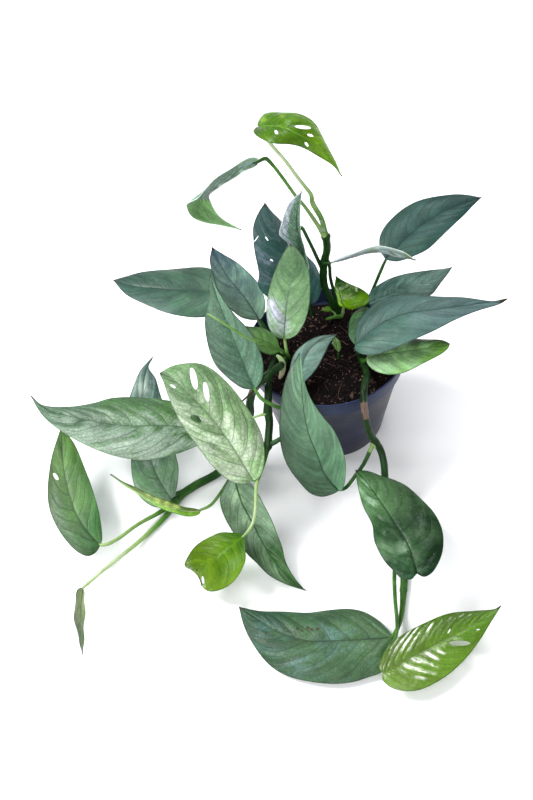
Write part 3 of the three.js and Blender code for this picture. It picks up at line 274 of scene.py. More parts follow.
# %% Leaves and stems as measured
LEAVES = {
    "top_glossy": dict(
        midrib=((258.2, 126.5, 262), (273, 126, 270), (285, 128, 272), (298, 134, 269),
            (316, 144, 259), (332, 160, 244), (341.7, 176.5, 230)),
        left=((257.1, 124.7), (264, 114.8), (282, 111.8), (297, 112.8), (312.4, 121.5),
            (323.3, 136.6), (333.2, 157.2)),
        right=((253.3, 130.1), (256, 135.5), (267, 141.5), (290.7, 144.8), (306, 149.6),
            (319, 156.2), (333, 166)),
        lift=(-2, -3),
        holes=((294.5, 126.3, 311.1, 128, 3.8), (307, 134.5, 313.5, 136.1, 2.6),
            (274.9, 130, 277.7, 134.2, 3), (304.8, 142.1, 308.3, 146.6, 2.6)),
    ),
    "folded_back": dict(
        midrib=((259, 162, 230), (245, 165, 231), (230, 173.5, 228), (215, 184, 221),
            (201, 197, 212), (199.5, 207, 205), (208, 214, 201), (222, 221.5, 197.5),
            (242, 229.9, 196)),
        left=((259, 158.5), (251.7, 157.2), (240.8, 161.6), (230, 169.2), (213, 180.6),
            (202, 192.2), (197.6, 197.6), (191.5, 201.3), (186.1, 205.2), (186.7, 207.6),
            (189.6, 214), (196, 219.2), (206.4, 223.1), (226, 227.1)),
        right=((256, 166.5), (246.3, 171.3), (232.8, 180), (220.2, 187.5), (209, 195), (211, 202),
            (218, 213.3), (228.2, 222.5)),
        lift=(3, -4),
    ),
    "tall_blue": dict(
        midrib=((311, 304, 88), (300, 278, 118), (286, 251, 150), (275, 226, 178),
            (265, 202.5, 200)),
        left=((300, 308), (283, 304), (266, 296), (258.3, 284.5), (259.2, 276), (254.6, 253.5),
            (253.5, 240), (253.8, 225.9), (258, 213.3)),
        right=((316, 302), (320.8, 290.2), (320.6, 277.6), (315.5, 265), (306.9, 255.8),
            (294, 238), (280.5, 220.2), (271.8, 211.5)),
        lift=(3, -2),
        holes=((254, 242, 258.6, 235.6, 1.0), (265.2, 236.3, 268.3, 240.8, 1.5),
            (270.4, 259, 273, 261.4, 1.5)),
    ),
    "silver_curled": dict(
        midrib=((302, 262, 146), (301, 248, 160), (298, 232, 176), (297, 215, 192),
            (299, 202, 204), (301.9, 191.3, 213)),
        left=((297, 266), (292, 258), (288, 244), (279.5, 235), (281.5, 222), (287.5, 206),
            (295, 197)),
        right=((308.6, 270), (305.5, 251), (301.5, 236), (300.5, 224), (300.6, 208)),
        lift=(7, -2),
    ),
    "pale_centre": dict(
        midrib=((283.9, 338.4, 99), (285, 322, 115), (286.8, 304, 133), (290.8, 283.3, 152),
            (294, 260.4, 172), (290.2, 244.3, 186)),
        left=((279.9, 338.4), (271.8, 332.7), (266.9, 320.1), (266.7, 304), (270.7, 283.3),
            (277.6, 265), (285.6, 249.5)),
        right=((288, 339), (297.1, 333.8), (304, 323.5), (308.6, 308.6), (310.3, 289.1),
            (308.6, 270.7), (303.5, 257.5), (296, 247.9)),
        lift=(-3, -2),
    ),
    "grey_left": dict(
        midrib=((259.4, 319.8, 98), (244.3, 297.1, 120), (225.9, 274.1, 143),
            (212.1, 247.2, 166)),
        left=((251.2, 320.1), (239.7, 316.6), (225.9, 304), (213.5, 278), (209.9, 260.4)),
        right=((262.5, 317), (265.3, 309), (265.5, 301.7), (261.5, 289.1), (253.5, 277.6),
            (237.4, 262.7), (220.2, 252.3)),
        lift=(1, 2),
    ),
    "far_left": dict(
        midrib=((240, 298, 95), (210, 292, 101), (180, 290, 105), (154, 288, 104),
            (133.5, 286, 101), (113, 280, 97)),
        left=((236, 306), (225, 313), (206, 317), (194, 318), (180, 316), (154, 308),
            (127, 295.5)),
        right=((241, 289), (232, 279), (210, 269), (180, 268), (140, 273), (125, 276.5)),
        lift=(-2, -3),
    ),
    "left_upright": dict(
        midrib=((254.5, 389, 101), (246, 370, 111), (238, 350, 123), (228, 325, 138),
            (218, 300, 154), (210, 274, 171)),
        left=((248, 389.2), (242, 388), (229, 379), (215, 364), (207, 341), (205, 317),
            (209, 297), (208.6, 285)),
        right=((258, 386), (262, 379), (263.4, 364), (258, 346.5), (247, 328), (234, 314),
            (220.5, 294)),
        lift=(-1, 3),
    ),
    "small_green": dict(
        midrib=((280.5, 351, 92), (271, 344, 97), (256, 337, 101), (236, 324, 104)),
        left=((276, 354), (269.5, 354.5), (259.2, 351), (247, 341)),
        right=((279.3, 346.5), (276.4, 338.4), (267.2, 329.6), (253.5, 326.9), (243, 325)),
        lift=(-1, -1),
    ),
    "over_soil": dict(
        midrib=((298, 386, 85), (301, 372, 89), (305, 357, 94), (313, 346, 98), (325, 338.5, 100),
            (337.1, 334.7, 101)),
        left=((293, 380), (290, 370), (291.5, 360.8), (296.9, 350.1), (308.9, 340.7),
            (322.3, 335.4)),
        right=((304.9, 381.6), (314.3, 371.5), (321, 360.8), (326.3, 350.1), (330.5, 342)),
        lift=(3, -2),
    ),
    "front_large": dict(
        midrib=((338.5, 491, 24), (325, 474.6, 41), (317, 454.5, 60), (308.9, 434.5, 78),
            (304.2, 413, 95), (302.4, 394.3, 108), (301, 374.2, 117), (299.6, 352.7, 123)),
        left=((333, 494.1), (322.3, 496.7), (310.3, 493.4), (299.6, 482.7), (287.5, 465.3),
            (281.5, 447.9), (278.9, 429.1), (280.1, 410.4), (283.5, 388.9), (289.3, 370.5),
            (296, 358.5)),
        right=((342.4, 489.4), (345.4, 474.6), (345.8, 461.2), (341.1, 445.2), (333, 429.1),
            (322.3, 415.7), (310.3, 397), (303.8, 379.6), (301.5, 362)),
        lift=(3, -2),
    ),
    "narrow_trailing": dict(
        midrib=((233.5, 475, 43), (241.8, 502.5, 35), (253.3, 524.3, 28), (260.2, 538.1, 23),
            (270.5, 555.3, 17), (282, 570.2, 12), (306.1, 590.9, 6)),
        left=((229.2, 479), (223.5, 488.7), (220, 498), (221.2, 508.2), (224.6, 517.4),
            (231.5, 530), (246.4, 553), (255.6, 562.2), (268.2, 574.8), (285.5, 584)),
        right=((241, 476), (251, 484), (257.9, 493.3), (264.8, 505.9), (271.7, 519.7),
            (277.4, 534.6), (282, 546.1), (286.6, 563.3), (295.8, 579.4)),
        lift=(-2, -1),
    ),
    "fenestrated": dict(
        midrib=((253, 480.5, 57), (229.5, 442, 75), (206.5, 411.4, 86), (191.2, 396, 91),
            (177.2, 382, 94), (167, 375, 94), (159.3, 373.4, 92)),
        left=((247, 483.5), (238, 484), (227, 479), (209, 462), (194, 442), (181, 423),
            (169.5, 400), (163, 381)),
        right=((258, 479), (262.7, 470), (264.6, 455), (262.7, 437), (255, 420), (242, 401),
            (227, 382), (213, 369.5), (201, 364), (187, 363.6), (171, 366.5)),
        lift=(-2, 0),
        holes=((191.5, 367.5, 196, 389.5, 6.5), (204.5, 382, 208, 401.5, 5.5),
            (170.5, 384.5, 175.5, 388, 2.5), (190.5, 416, 201.5, 421.5, 6.5)),
    ),
    "round_bright": dict(
        midrib=((243, 535.8, 33), (234, 543.5, 33), (223.5, 551.8, 31), (212, 561, 26),
            (203, 568.5, 18), (197, 576, 9)),
        left=((242, 533.9), (230.4, 532.9), (218.9, 532.9), (205.1, 539.2), (194.8, 547.2),
            (186.7, 557.6), (184.4, 565.6), (191.3, 570.2)),
        right=((244.5, 539), (245.3, 547.2), (245.3, 559.9), (240.7, 572.5), (230.4, 584),
            (218.9, 590.3), (207.4, 590.9), (200.5, 585)),
        lift=(-1, -1),
        holes=((202.3, 576, 203.6, 584, 3),),
        blunt=True,
    ),
    "long_silver": dict(
        midrib=((203, 433, 62), (179, 426.5, 61), (128, 425.5, 57), (96.5, 421.6, 53),
            (71, 416.5, 50), (45.5, 409, 47), (30.5, 396, 47)),
        left=((205, 441), (192, 448), (179, 453.5), (160, 458.6), (141, 460), (116, 456),
            (96.5, 450), (77, 441), (58, 429), (42, 415)),
        right=((203, 424), (190, 408), (160, 399), (128, 397), (109, 399), (96.5, 402.5),
            (71, 406), (43, 405)),
        lift=(-3, 1),
    ),
    "behind_long": dict(
        midrib=((171.5, 499.5, 11), (159.3, 480.3, 17), (151, 461.2, 23), (144, 425, 33),
            (143, 395, 41), (146, 373, 47), (154.2, 355.3, 51)),
        left=((167, 503.5), (160.6, 507.1), (153, 506.5), (139, 495.6), (133.8, 484.1),
            (131.3, 470.1), (131, 450), (128, 425), (129, 400), (132.6, 388.5), (140.2, 370.6),
            (147, 362.5)),
        right=((174, 495), (176.6, 488), (178.5, 467.6), (175.9, 454.8), (171, 425),
            (161.3, 397.4), (155.5, 378.3), (148.6, 366.8)),
        lift=(1, -1),
    ),
    "left_trailing": dict(
        midrib=((100.3, 545.2, 20), (86.3, 529.8, 25), (76.5, 514.4, 28), (68, 489, 31),
            (63.8, 468, 33), (61, 427, 35)),
        left=((96.1, 552.2), (87.7, 556.4), (77.9, 552.2), (66.7, 541), (55.4, 524.2),
            (49.1, 507.3), (47.7, 487.7), (50.5, 462.4), (56.8, 440)),
        right=((102, 540), (100.3, 518.6), (94.7, 496.1), (86.3, 472.3), (73.7, 442.8)),
        lift=(-2, -2),
        holes=((53.3, 473, 58.2, 480, 3.4),),
    ),
    "small_edge": dict(
        midrib=((83.3, 588, 15), (81.5, 602, 15), (80.5, 618, 13), (81.5, 636, 10),
            (83, 654.6, 7)),
        left=((78.5, 588.5), (74.8, 602.7), (74.4, 615.4), (77.2, 633.6)),
        right=((84.6, 592), (84.9, 608.3), (84.6, 622.4), (83.9, 636.4)),
        lift=(9, -6),
    ),
    "edge_bright": dict(
        midrib=((201.3, 510.8, 19), (187, 511, 20), (173.3, 507.2, 21), (156.4, 501, 22),
            (138, 492, 24), (124, 483.5, 26), (110.1, 474.4, 28)),
        left=((198.5, 514.6), (187.3, 516.7), (173.3, 513), (156.4, 505.9), (141, 497.5),
            (132.6, 490.3), (118.6, 481)),
        right=((197, 509), (180.3, 505.9), (159.2, 497.5), (138.2, 489.1), (124.2, 481.9)),
        lift=(-3, 7),
    ),
    "right_heart": dict(
        midrib=((417, 573.5, 44), (409, 547, 47), (394, 522, 47), (378.5, 499, 44),
            (365, 480, 39), (355.5, 470, 36)),
        left=((411, 579.5), (401, 578), (394, 571), (383.6, 560), (374.6, 542), (372, 524),
            (363, 506), (357, 482)),
        right=((424, 577), (432, 573), (441, 557), (443.5, 542), (442, 529), (434.6, 514),
            (422, 500), (406.5, 485.5), (394, 479.5), (381, 476), (368, 471.2)),
        lift=(-3, -1),
    ),
    "floor_left": dict(
        midrib=((393.1, 637, 9), (363.5, 639.4, 10), (334.8, 640.7, 11), (306.1, 640.4, 10),
            (277.4, 630.8, 8), (258.3, 619.3, 7), (239.1, 606.9, 6)),
        left=((392, 646), (388, 660), (381, 672.5), (369.2, 676.7), (353.9, 681.5), (334.8, 684),
            (311.8, 682.4), (287, 675.7), (267.8, 663.3), (250.6, 640.4), (243, 623.1)),
        right=((387.4, 628.9), (378.8, 620.3), (365.4, 612.6), (350.1, 609.4), (327.1, 610.1),
            (306.1, 612.6), (283.1, 612), (258.3, 610.7)),
        lift=(-6, -5),
    ),
    "floor_right": dict(
        midrib=((382.6, 673, 15), (411.3, 657.6, 17), (440, 642.3, 17), (468.7, 627, 19),
            (487.8, 615.5, 22), (501.2, 605.9, 26)),
        left=((379, 669), (379.7, 661.4), (388.4, 646.1), (407.5, 631.7), (430.5, 620.3),
            (449.6, 613.6), (474.4, 610.7), (493.6, 609.2)),
        right=((382.5, 679), (386, 684), (394.1, 689.1), (409.4, 691.1), (422.8, 688.6),
            (445.8, 676.7), (463, 661.4), (478.3, 642.3), (491.7, 621.2)),
        lift=(-1, -6),
        holes=((448.6, 643.2, 470.2, 643.2, 5.2), (447.7, 633.7, 450.5, 628.9, 1.6),
            (476.2, 629.9, 480, 629.3, 1.6)),
    ),
    "back_right": dict(
        midrib=((385.6, 259.3, 128), (398.2, 245.9, 133), (416.5, 229.1, 138),
            (434.7, 216.5, 142), (454.3, 206.7, 145), (481.7, 197.5, 148)),
        left=((380.5, 252), (379.3, 245), (380, 236.1), (385.6, 224.9), (396.8, 213.7),
            (412.3, 203.9), (429.1, 197.5), (450.1, 194.5), (468.4, 195.2)),
        right=((389.8, 260.7), (396.8, 261.4), (412.3, 257.2), (426.3, 250.2), (440.3, 237.5),
            (458.6, 220.7), (472.6, 206)),
        lift=(3, -3),
    ),
    "right_short": dict(
        midrib=((369, 304, 100), (391.2, 295.1, 107), (412.3, 288.4, 111), (433.3, 280, 114),
            (452.2, 267.3, 117)),
        left=((369.5, 297), (371, 291), (384.2, 281), (398.2, 276.1), (419.3, 271.2),
            (440.3, 269.3)),
        right=((373, 308), (385, 309), (405, 305), (430.5, 295.1), (440.3, 283.8),
            (448.7, 272.6)),
        lift=(2, -4),
    ),
    "thin_silver": dict(
        midrib=((330, 262.8, 131), (342.1, 259, 137), (356.1, 253.7, 143), (370.2, 250.5, 148),
            (384.2, 249.5, 151), (398.5, 253, 152), (415.8, 260.3, 150)),
        left=((342.1, 256.8), (356.1, 251.3), (370.2, 247.8), (380, 246), (391.2, 247.1),
            (401, 250.9), (409.4, 255.9)),
        right=((342.1, 260.9), (356.1, 256), (370.2, 253.2), (384.2, 253.2), (395.4, 255.9),
            (406.6, 258.8)),
        lift=(8, -6),
    ),
    "right_long": dict(
        midrib=((356.3, 344.5, 103), (370.2, 331.5, 111), (387, 320.3, 117), (406.6, 313.3, 121),
            (426.3, 310.5, 122), (448.7, 307.7, 121), (482.4, 303, 116), (507.7, 299.2, 113)),
        left=((355.8, 338), (356.3, 327.3), (361, 316.1), (370.2, 307), (380, 300.2),
            (394, 296.4), (412.3, 295.4), (437.5, 296), (461.4, 297.2), (482.4, 300.2),
            (500, 301.6)),
        right=((354.2, 348.5), (357, 351.8), (364.5, 354.7), (375.8, 354), (398.2, 347),
            (426.3, 334.3), (454.3, 320.3), (479.6, 310.5), (500.6, 303.8)),
        lift=(1, -4),
    ),
    "right_bright": dict(
        midrib=((366.5, 357.5, 94), (384.2, 354, 98), (409.4, 350.5, 100), (433.3, 347, 101),
            (450.1, 344.2, 101)),
        left=((368, 352), (377, 347), (396, 341), (416.5, 338.6), (431.9, 339.3), (445.9, 341.4)),
        right=((367.3, 363.8), (375.8, 371.5), (387, 374.8), (401, 372.9), (415.1, 368),
            (433.3, 358.2), (447.3, 349.4)),
        lift=(-1, -2),
    ),
    "tucked_under": dict(
        midrib=((367.5, 307, 92), (362, 318, 94), (358, 332, 93), (355, 345.5, 89)),
        left=((371, 311), (371, 322), (366, 336), (359, 344)),
        right=((363, 307.6), (356.1, 310.5), (350.5, 318.9), (348.4, 328.7), (349.2, 337.1)),
        lift=(0, -1),
    ),
    "small_bright": dict(
        midrib=((343.5, 306.5, 93), (340.5, 297, 101), (338, 287, 108), (336.2, 275.8, 114)),
        left=((340, 306.5), (336.5, 296.5), (334.4, 288)),
        right=((348, 309), (358, 308.4), (366.5, 305), (370.6, 297.5), (364, 290.5), (350, 284),
            (341, 279.5)),
        lift=(1, -1),
    ),
    "shoot_back": dict(
        midrib=((331.6, 309.6, 83.5), (327, 309, 86), (320.5, 310.2, 88)),
        left=((329.5, 311.6), (325.5, 311.5)),
        right=((330.5, 306.4), (326.5, 306.4)),
        lift=(0, 0),
    ),
    "shoot_front": dict(
        midrib=((338.5, 352, 83), (337.5, 345, 86), (335.5, 336.5, 88)),
        left=((335, 349), (332, 342)),
        right=((341, 349), (340, 341.5)),
        lift=(0, 0),
    ),
}

STEMS = {
    "vine_back": (
        (((342, 320, 64, 2.8), (338, 314, 75, 2.9), (331, 300, 91, 2.9), (324.6, 286, 104, 2.8),
          (323.4, 270, 120, 2.8), (324.5, 261, 129, 2.8), (327, 249, 141, 2.9),
          (326.4, 240, 150, 2.9), (325, 233, 157, 2.7)), None),
        (((325.5, 236, 154, 2.2), (321.5, 219, 171, 1.9), (312.6, 202.8, 189, 1.9),
          (310.9, 194.4, 198, 1.5), (305.9, 187.6, 205, 1.3), (297.2, 176.8, 217, 1.3),
          (284.2, 159.4, 236, 1.2), (268.5, 141.5, 253, 1.2),
          (260.5, 130, 260, 1.2)), "top_glossy"),
        (((325, 236, 154, 2.2), (319, 227, 163, 1.6), (305.9, 208, 183, 1.3),
          (295, 195, 196, 1.2), (284.2, 180, 210, 1.2), (273.4, 165.9, 222, 1.2),
          (266, 158.6, 228, 1.5), (262, 159.6, 229.5, 1.3)), "folded_back"),
        (((327, 237, 153, 1.2), (330.3, 234.2, 155, 0.9)), None),
        (((323.5, 272, 118, 1.4), (319, 262, 128, 1.4), (308, 239, 147, 1.3),
          (301, 227, 155, 1.3), (298.8, 237, 149, 1.2), (300.8, 251, 143, 1.2)), "silver_curled"),
        (((325.5, 258, 132, 1.6), (329, 264, 127, 1.3), (330.4, 278, 111, 1.3),
          (333.8, 291, 98, 1.3), (339, 309, 80, 1.3), (342, 319, 66, 1.3)), None),
        (((322, 262.8, 129, 1.2), (326, 263.4, 130, 1.1)), "thin_silver"),
        (((323.4, 262.5, 128, 1.1), (318.4, 264, 126, 0.8)), None),
        (((341, 319, 68, 1.6), (341.7, 316, 78, 1.5), (342.4, 313.5, 83, 1.3)), "small_bright"),
        (((341, 316.5, 77.5, 1.6), (334, 317, 80.3, 1.4), (325.5, 319.3, 80, 1.2)), None),
        (((335, 317, 80.3, 1.1), (335, 313.5, 81, 0.8)), "shoot_back"),
    ),
    "stalk_tall_blue": (
        (((313, 323, 63, 1.4), (312, 313, 78, 1.4)), "tall_blue"),
    ),
    "vine_left": (
        (((278, 352, 62, 2.8), (276.4, 355, 74, 2.8), (273.4, 364, 84, 2.8), (269, 378, 90, 2.8),
          (268.4, 388, 92, 2.8), (268, 399, 89.5, 2.8), (267.8, 411.4, 80, 3.2),
          (269.4, 421.6, 73, 2.8), (268.4, 436.9, 66, 2.8), (267.6, 447, 61, 3),
          (266.5, 452, 59, 2)), None),
        (((267.5, 446, 62, 2), (265.4, 457, 58.5, 1.5), (261.4, 470, 56, 1.3),
          (256.5, 480, 56, 1.4)), "fenestrated"),
        (((257.5, 479, 56, 1.2), (255.9, 490, 53, 1.3), (255.6, 506, 46, 1.2),
          (252.8, 523, 40, 1.1), (248, 531, 36, 1.1)), "round_bright"),
        (((263.5, 464, 57, 1.3), (255, 464, 52, 1.2), (243, 467, 46, 1.2)), "narrow_trailing"),
        (((267.8, 445, 62, 2), (274, 442.5, 64, 1.8), (281, 438.5, 66, 1.7),
          (288, 434, 66, 1.5)), None),
        (((276, 356, 76, 1.6), (272, 342, 84, 1.3), (266, 329.5, 91, 1.3)), "grey_left"),
        (((275.5, 357, 77, 1.6), (268, 344, 81, 1.3), (262, 328, 86, 1.3),
          (253, 311, 91, 1.3)), "far_left"),
        (((267.8, 412.5, 80, 1.4), (261, 415, 80, 0.9), (252.5, 417.6, 79, 0.8)), None),
    ),
    "stalk_left_upright": (
        (((301, 384, 62, 1.4), (300, 384, 76, 1.4), (296, 391, 91, 1.4), (288, 402, 93, 1.4),
          (281, 407.6, 94, 1.4), (270.3, 403.8, 99, 1.3),
          (261.4, 398.4, 102, 1.3)), "left_upright"),
        (((300, 384, 70, 1.3), (297.5, 388, 80, 1.2)), "over_soil"),
    ),
    "vine_floor": (
        (((291, 357, 62, 2.9), (288, 359, 74, 2.9), (284, 362.5, 86, 2.9), (278.5, 367, 98, 2.9),
          (270, 373.5, 104, 2.9), (263, 379.5, 101, 2.9), (257, 385.5, 91, 2.9),
          (252.6, 392, 79, 2.9), (250, 402, 67, 3), (250, 414, 52, 3.1), (243, 433, 33, 3.1),
          (232, 456, 13, 3.1), (218, 472.7, 4.2, 3.2), (196, 485, 3.6, 3.3),
          (176, 498, 3.6, 3.3)), None),
        (((179, 496.5, 3.6, 2.4), (164, 509.5, 3.2, 1.8), (138.2, 524.2, 8, 1.5),
          (118.6, 538.2, 15, 1.4), (106, 544.5, 19, 1.4)), "left_trailing"),
        (((179, 498, 3.2, 2.4), (167.5, 514, 2.4, 2), (150.8, 531.2, 2.6, 1.8),
          (131.2, 548, 6, 1.5), (103.1, 570.5, 12, 1.3), (88, 583.5, 15, 1.2)), "small_edge"),
        (((180, 496, 3.6, 2.4), (174.5, 498.6, 7.5, 1.4)), "behind_long"),
        (((240, 440, 27, 1.6), (236.5, 458, 20, 1.3), (230, 477, 15, 1.2), (219, 495, 15, 1.2),
          (210, 505.5, 17, 1.2)), "edge_bright"),
        (((248, 418, 48, 1.6), (238, 425, 54, 1.3), (222, 431, 59, 1.3)), "long_silver"),
        (((287.6, 359.5, 76, 1.8), (288.6, 357, 86, 1.4), (286.8, 352, 93, 1.3)), "pale_centre"),
        (((285, 361.5, 84, 1.6), (285.6, 358, 88, 1.3), (284, 354, 91, 1.1)), "small_green"),
        (((284.4, 354.5, 91, 1.1), (281, 349.6, 105, 0.9), (260.4, 343, 127, 1),
          (244.3, 336.1, 141, 1), (229.4, 326.9, 150, 0.9), (217.9, 319.5, 155, 0.8),
          (207.5, 313.6, 158, 0.5)), None),
        (((259, 383, 94, 1.4), (256, 388.5, 92, 0.8), (250, 394, 87, 0.7),
          (242, 401.5, 82, 0.6)), None),
    ),
    "vine_right": (
        (((358, 346, 62, 2.6), (359.5, 354, 73, 2.6), (363, 362, 79, 2.6), (366, 370, 83, 2.6),
          (367.2, 377, 88, 2.7), (365.2, 383, 91.5, 2.7), (363.8, 392, 92, 2.6),
          (363.6, 401, 88, 2.5), (365, 412, 78, 2.5), (366.5, 421, 70, 2.4),
          (370.5, 434.5, 58, 2.6), (374.8, 441.5, 51, 3), (380.5, 450, 44, 2.7),
          (384, 464, 36, 2.7), (385, 478, 28, 2.7), (388, 500, 17, 2.7), (396, 540, 6, 2.8),
          (404, 577, 2.9, 2.7), (403.2, 594, 2.8, 2.6)), None),
        (((374.5, 442, 50, 2), (371.9, 447, 46, 1.6), (363.8, 463.9, 35, 1.5),
          (355.5, 475.5, 27, 1.4), (344.6, 488.5, 23.5, 1.4)), "front_large"),
        (((392, 520, 11, 1.8), (402, 548, 20, 1.4), (411, 566, 34, 1.3)), "right_heart"),
        (((403.5, 590, 2.8, 2.2), (401.8, 611.7, 3, 1.9), (397.5, 628, 6, 1.6)), "floor_left"),
        (((397, 546, 6, 2), (394.4, 571.5, 8, 1.5), (395, 598.3, 9, 1.4), (397, 623.1, 10, 1.3),
          (396, 636, 13, 1.1), (388, 652, 12.5, 1), (383, 665, 11.5, 1)), "floor_right"),
        (((360.5, 356, 75, 2), (358, 352.5, 88, 1.4)), "right_long"),
        (((362, 360, 77, 2), (364.5, 361, 87, 1.3)), "right_bright"),
    ),
    "crown_right": (
        (((360, 334, 60, 2.6), (361, 328, 74, 2.6), (361.5, 325, 79, 2)), None),
        (((361, 327, 76, 1.6), (364, 309, 84, 1.4), (369.5, 297, 92, 1.3), (375, 284.5, 103, 1.3),
          (380, 272.6, 115, 1.3)), "back_right"),
        (((361.5, 327, 76, 1.6), (370, 320, 79, 1.4), (375, 313, 86, 1.3),
          (373.5, 307.5, 94, 1.3)), "right_short"),
        (((360.5, 328, 75, 1.5), (364, 315, 81, 1.2)), "tucked_under"),
    ),
    "stalk_shoot_front": (
        (((338, 362, 64, 1.1), (338.3, 358, 76, 1.1), (338.4, 352.8, 82.2, 0.8)), None),
    ),
}

# %% [markdown]
# ## The surface of a leaf
# A leaf is a thin sheet. Its place in space follows from two numbers: how far
# along the midrib, from 0 at the stalk to 1 at the tip, and how far across,
# from -1 at the left edge over 0 at the midrib to 1 at the right edge. Each
# half bulges a little. Between the side veins the blade is quilted, and its
# margin waves gently.

# %% Leaf surface
BULGE = 0.09
VEIN_SLANT = (0.1, 0.16)
VEIN_WANDER = 0.2
WAVES = 2.4
GROOVE_MM = 0.9
GROOVE_DEPTH = 0.4
DIMPLE = 0.3
# Shares of the length: where midrib and edges begin and end, how much closer the
# rows lie at the stalk, and how far round a point its direction is taken.
RIB_START, RIB_SPAN = 0.004, 0.988
EDGE_START = 0.012
SHARP_END, BLUNT_END = 0.999, 0.992
ROW_CROWDING = 1.15
LOOK_ROUND = 1 / 9


def ripples(rng, count, shortest, longest):
    """A few random plane waves, each with its direction, phase and weight."""
    lengths = rng.uniform(shortest, longest, count)
    headings = rng.uniform(0, math.pi, count)
    return np.stack([2 * math.pi / lengths * np.cos(headings),
                     2 * math.pi / lengths * np.sin(headings),
                     rng.uniform(0, 2 * math.pi, count),
                     lengths / lengths.sum()])


def rippled(waves, x, y):
    """The sum of the waves at x, y millimetres, between about -1 and 1."""
    total = np.zeros_like(x)
    for kx, ky, phase, weight in waves.T:
        total = total + weight * np.sin(kx * x + ky * y + phase)
    return 1.5 * total


class Blade:
    """The middle surface of one leaf, in millimetres."""

    def __init__(self, leaf, look):
        midrib = list(leaf["midrib"])
        self.last = BLUNT_END if leaf.get("blunt") else SHARP_END
        end = [] if leaf.get("blunt") else [midrib[-1]]
        self.middle = Curve(midrib)
        self.edges = [Curve([(p[0], p[1], 0) for p in [midrib[0], *side, *end]])
                      for side in (leaf["left"], leaf["right"])]
        self.lift = leaf["lift"]
        self.look = look
        steps = np.linspace(0, 1, LENGTH_STEPS)
        spine, (left, right), normal = self.skeleton(steps)
        walk = np.linalg.norm(np.diff(spine, axis=0), axis=1)
        self.reach = np.concatenate([[0], np.cumsum(walk)])
        self.steps = steps
        self.length = self.reach[-1]
        self.half = 0.5 * np.linalg.norm(right - left, axis=1).max()
        seen = np.sum(normal * (EYE - spine), axis=1)
        self.facing = 1.0 if seen.mean() > 0 else -1.0
        self.rng = np.random.default_rng(look["seed"])
        self.phase = self.rng.uniform(0, 1, 6)
        self.drift = ripples(self.rng, 6, 16, 45)
        self.dimples = ripples(self.rng, 9, 5, 13)

    def skeleton(self, t):
        """The midrib, both edges and the normal at shares t of the length."""
        middle = self.middle.along(RIB_START + (self.last - RIB_START) * t ** ROW_CROWDING)
        rise = np.sin(math.pi * (0.08 + 0.84 * t))
        sides = []
        for edge, lift in zip(self.edges, self.lift):
            flat = edge.along(EDGE_START + (self.last - EDGE_START) * t)
            sides.append(place(flat[..., 0], flat[..., 1], middle[..., 2] + lift * rise))
        ahead, behind = [
            place_marks(self.middle.along(
                RIB_START + RIB_SPAN * np.clip(t + step, 0, 1) ** ROW_CROWDING))
            for step in (LOOK_ROUND, -LOOK_ROUND)]
        normal = unit(np.cross(sides[1] - sides[0], ahead - behind))
        return place_marks(middle), sides, normal

    def half_blade(self, t, q):
        """The midrib, the way from it to the nearer edge, the share of that way, its
        length, and the normal."""
        spine, (left, right), normal = self.skeleton(t)
        outward = np.where((q < 0)[..., None], left, right) - spine
        return spine, outward, np.abs(q), np.linalg.norm(outward, axis=-1), normal

    def measures(self, t, q):
        """What the material reads: veins, distances to the midrib and the margin."""
        _, _, share, width, _ = self.half_blade(t, q)
        reach = np.interp(t, self.steps, self.reach)
        offset = np.where(q < 0, 0.5, 0.0) + self.phase[0]
        wander = VEIN_WANDER * rippled(self.drift, reach, q * width)
        slant = VEIN_SLANT[0] * share + VEIN_SLANT[1] * share ** 2
        vein = self.look["veins"] * (reach / self.length - slant) + offset + wander
        return {"vein": vein, "across": q, "along": t, "spine": share * width,
                "rim": (1 - share) * width}

    def surface(self, t, q):
        """The points of the sheet, quilted and waved."""
        spine, outward, share, width, normal = self.half_blade(t, q)
        flat = spine + outward * share[..., None]
        bulge = BULGE * width * np.sin(math.pi * share)
        notes = self.measures(t, q)
        window = smooth_step(0.04, 0.3, share) * (1 - smooth_step(0.72, 0.98, share))
        window = window * smooth_step(0.0, 0.12, t) * (1 - smooth_step(0.85, 1, t))
        puff = np.abs(np.sin(math.pi * (notes["vein"] + 0.5))) ** 0.7
        reach = np.interp(t, self.steps, self.reach)
        dimple = DIMPLE * rippled(self.dimples, reach, q * width)
        quilt = self.look["quilt"] * window * (puff - 0.6 + dimple)
        side = np.where(q < 0, self.phase[2], self.phase[3])
        wave = self.look["wave"] * share ** 3 * np.sin(2 * math.pi * (WAVES * t + side))
        wave = wave * smooth_step(0.0, 0.15, t) * (1 - smooth_step(0.8, 1, t))
        groove = GROOVE_DEPTH * np.exp(-(notes["spine"] / GROOVE_MM) ** 2)
        up = normal * self.facing
        return (flat + normal * bulge[..., None]
                + up * (quilt + wave - groove)[..., None])


print("blade surface ready")

# %% [markdown]
# ## Holes and slits
# Grown leaves of this species open into slits. Where a leaf has them, its sheet
# is meshed by a constrained Delaunay triangulation: the outline of each hole is
# a loop that the triangles have to respect, and what is inside it is left out.

# %% Meshing a sheet
HOLE_POINTS = 28
NUDGE = 1e-3
COLUMN_CROWDING = 1.25


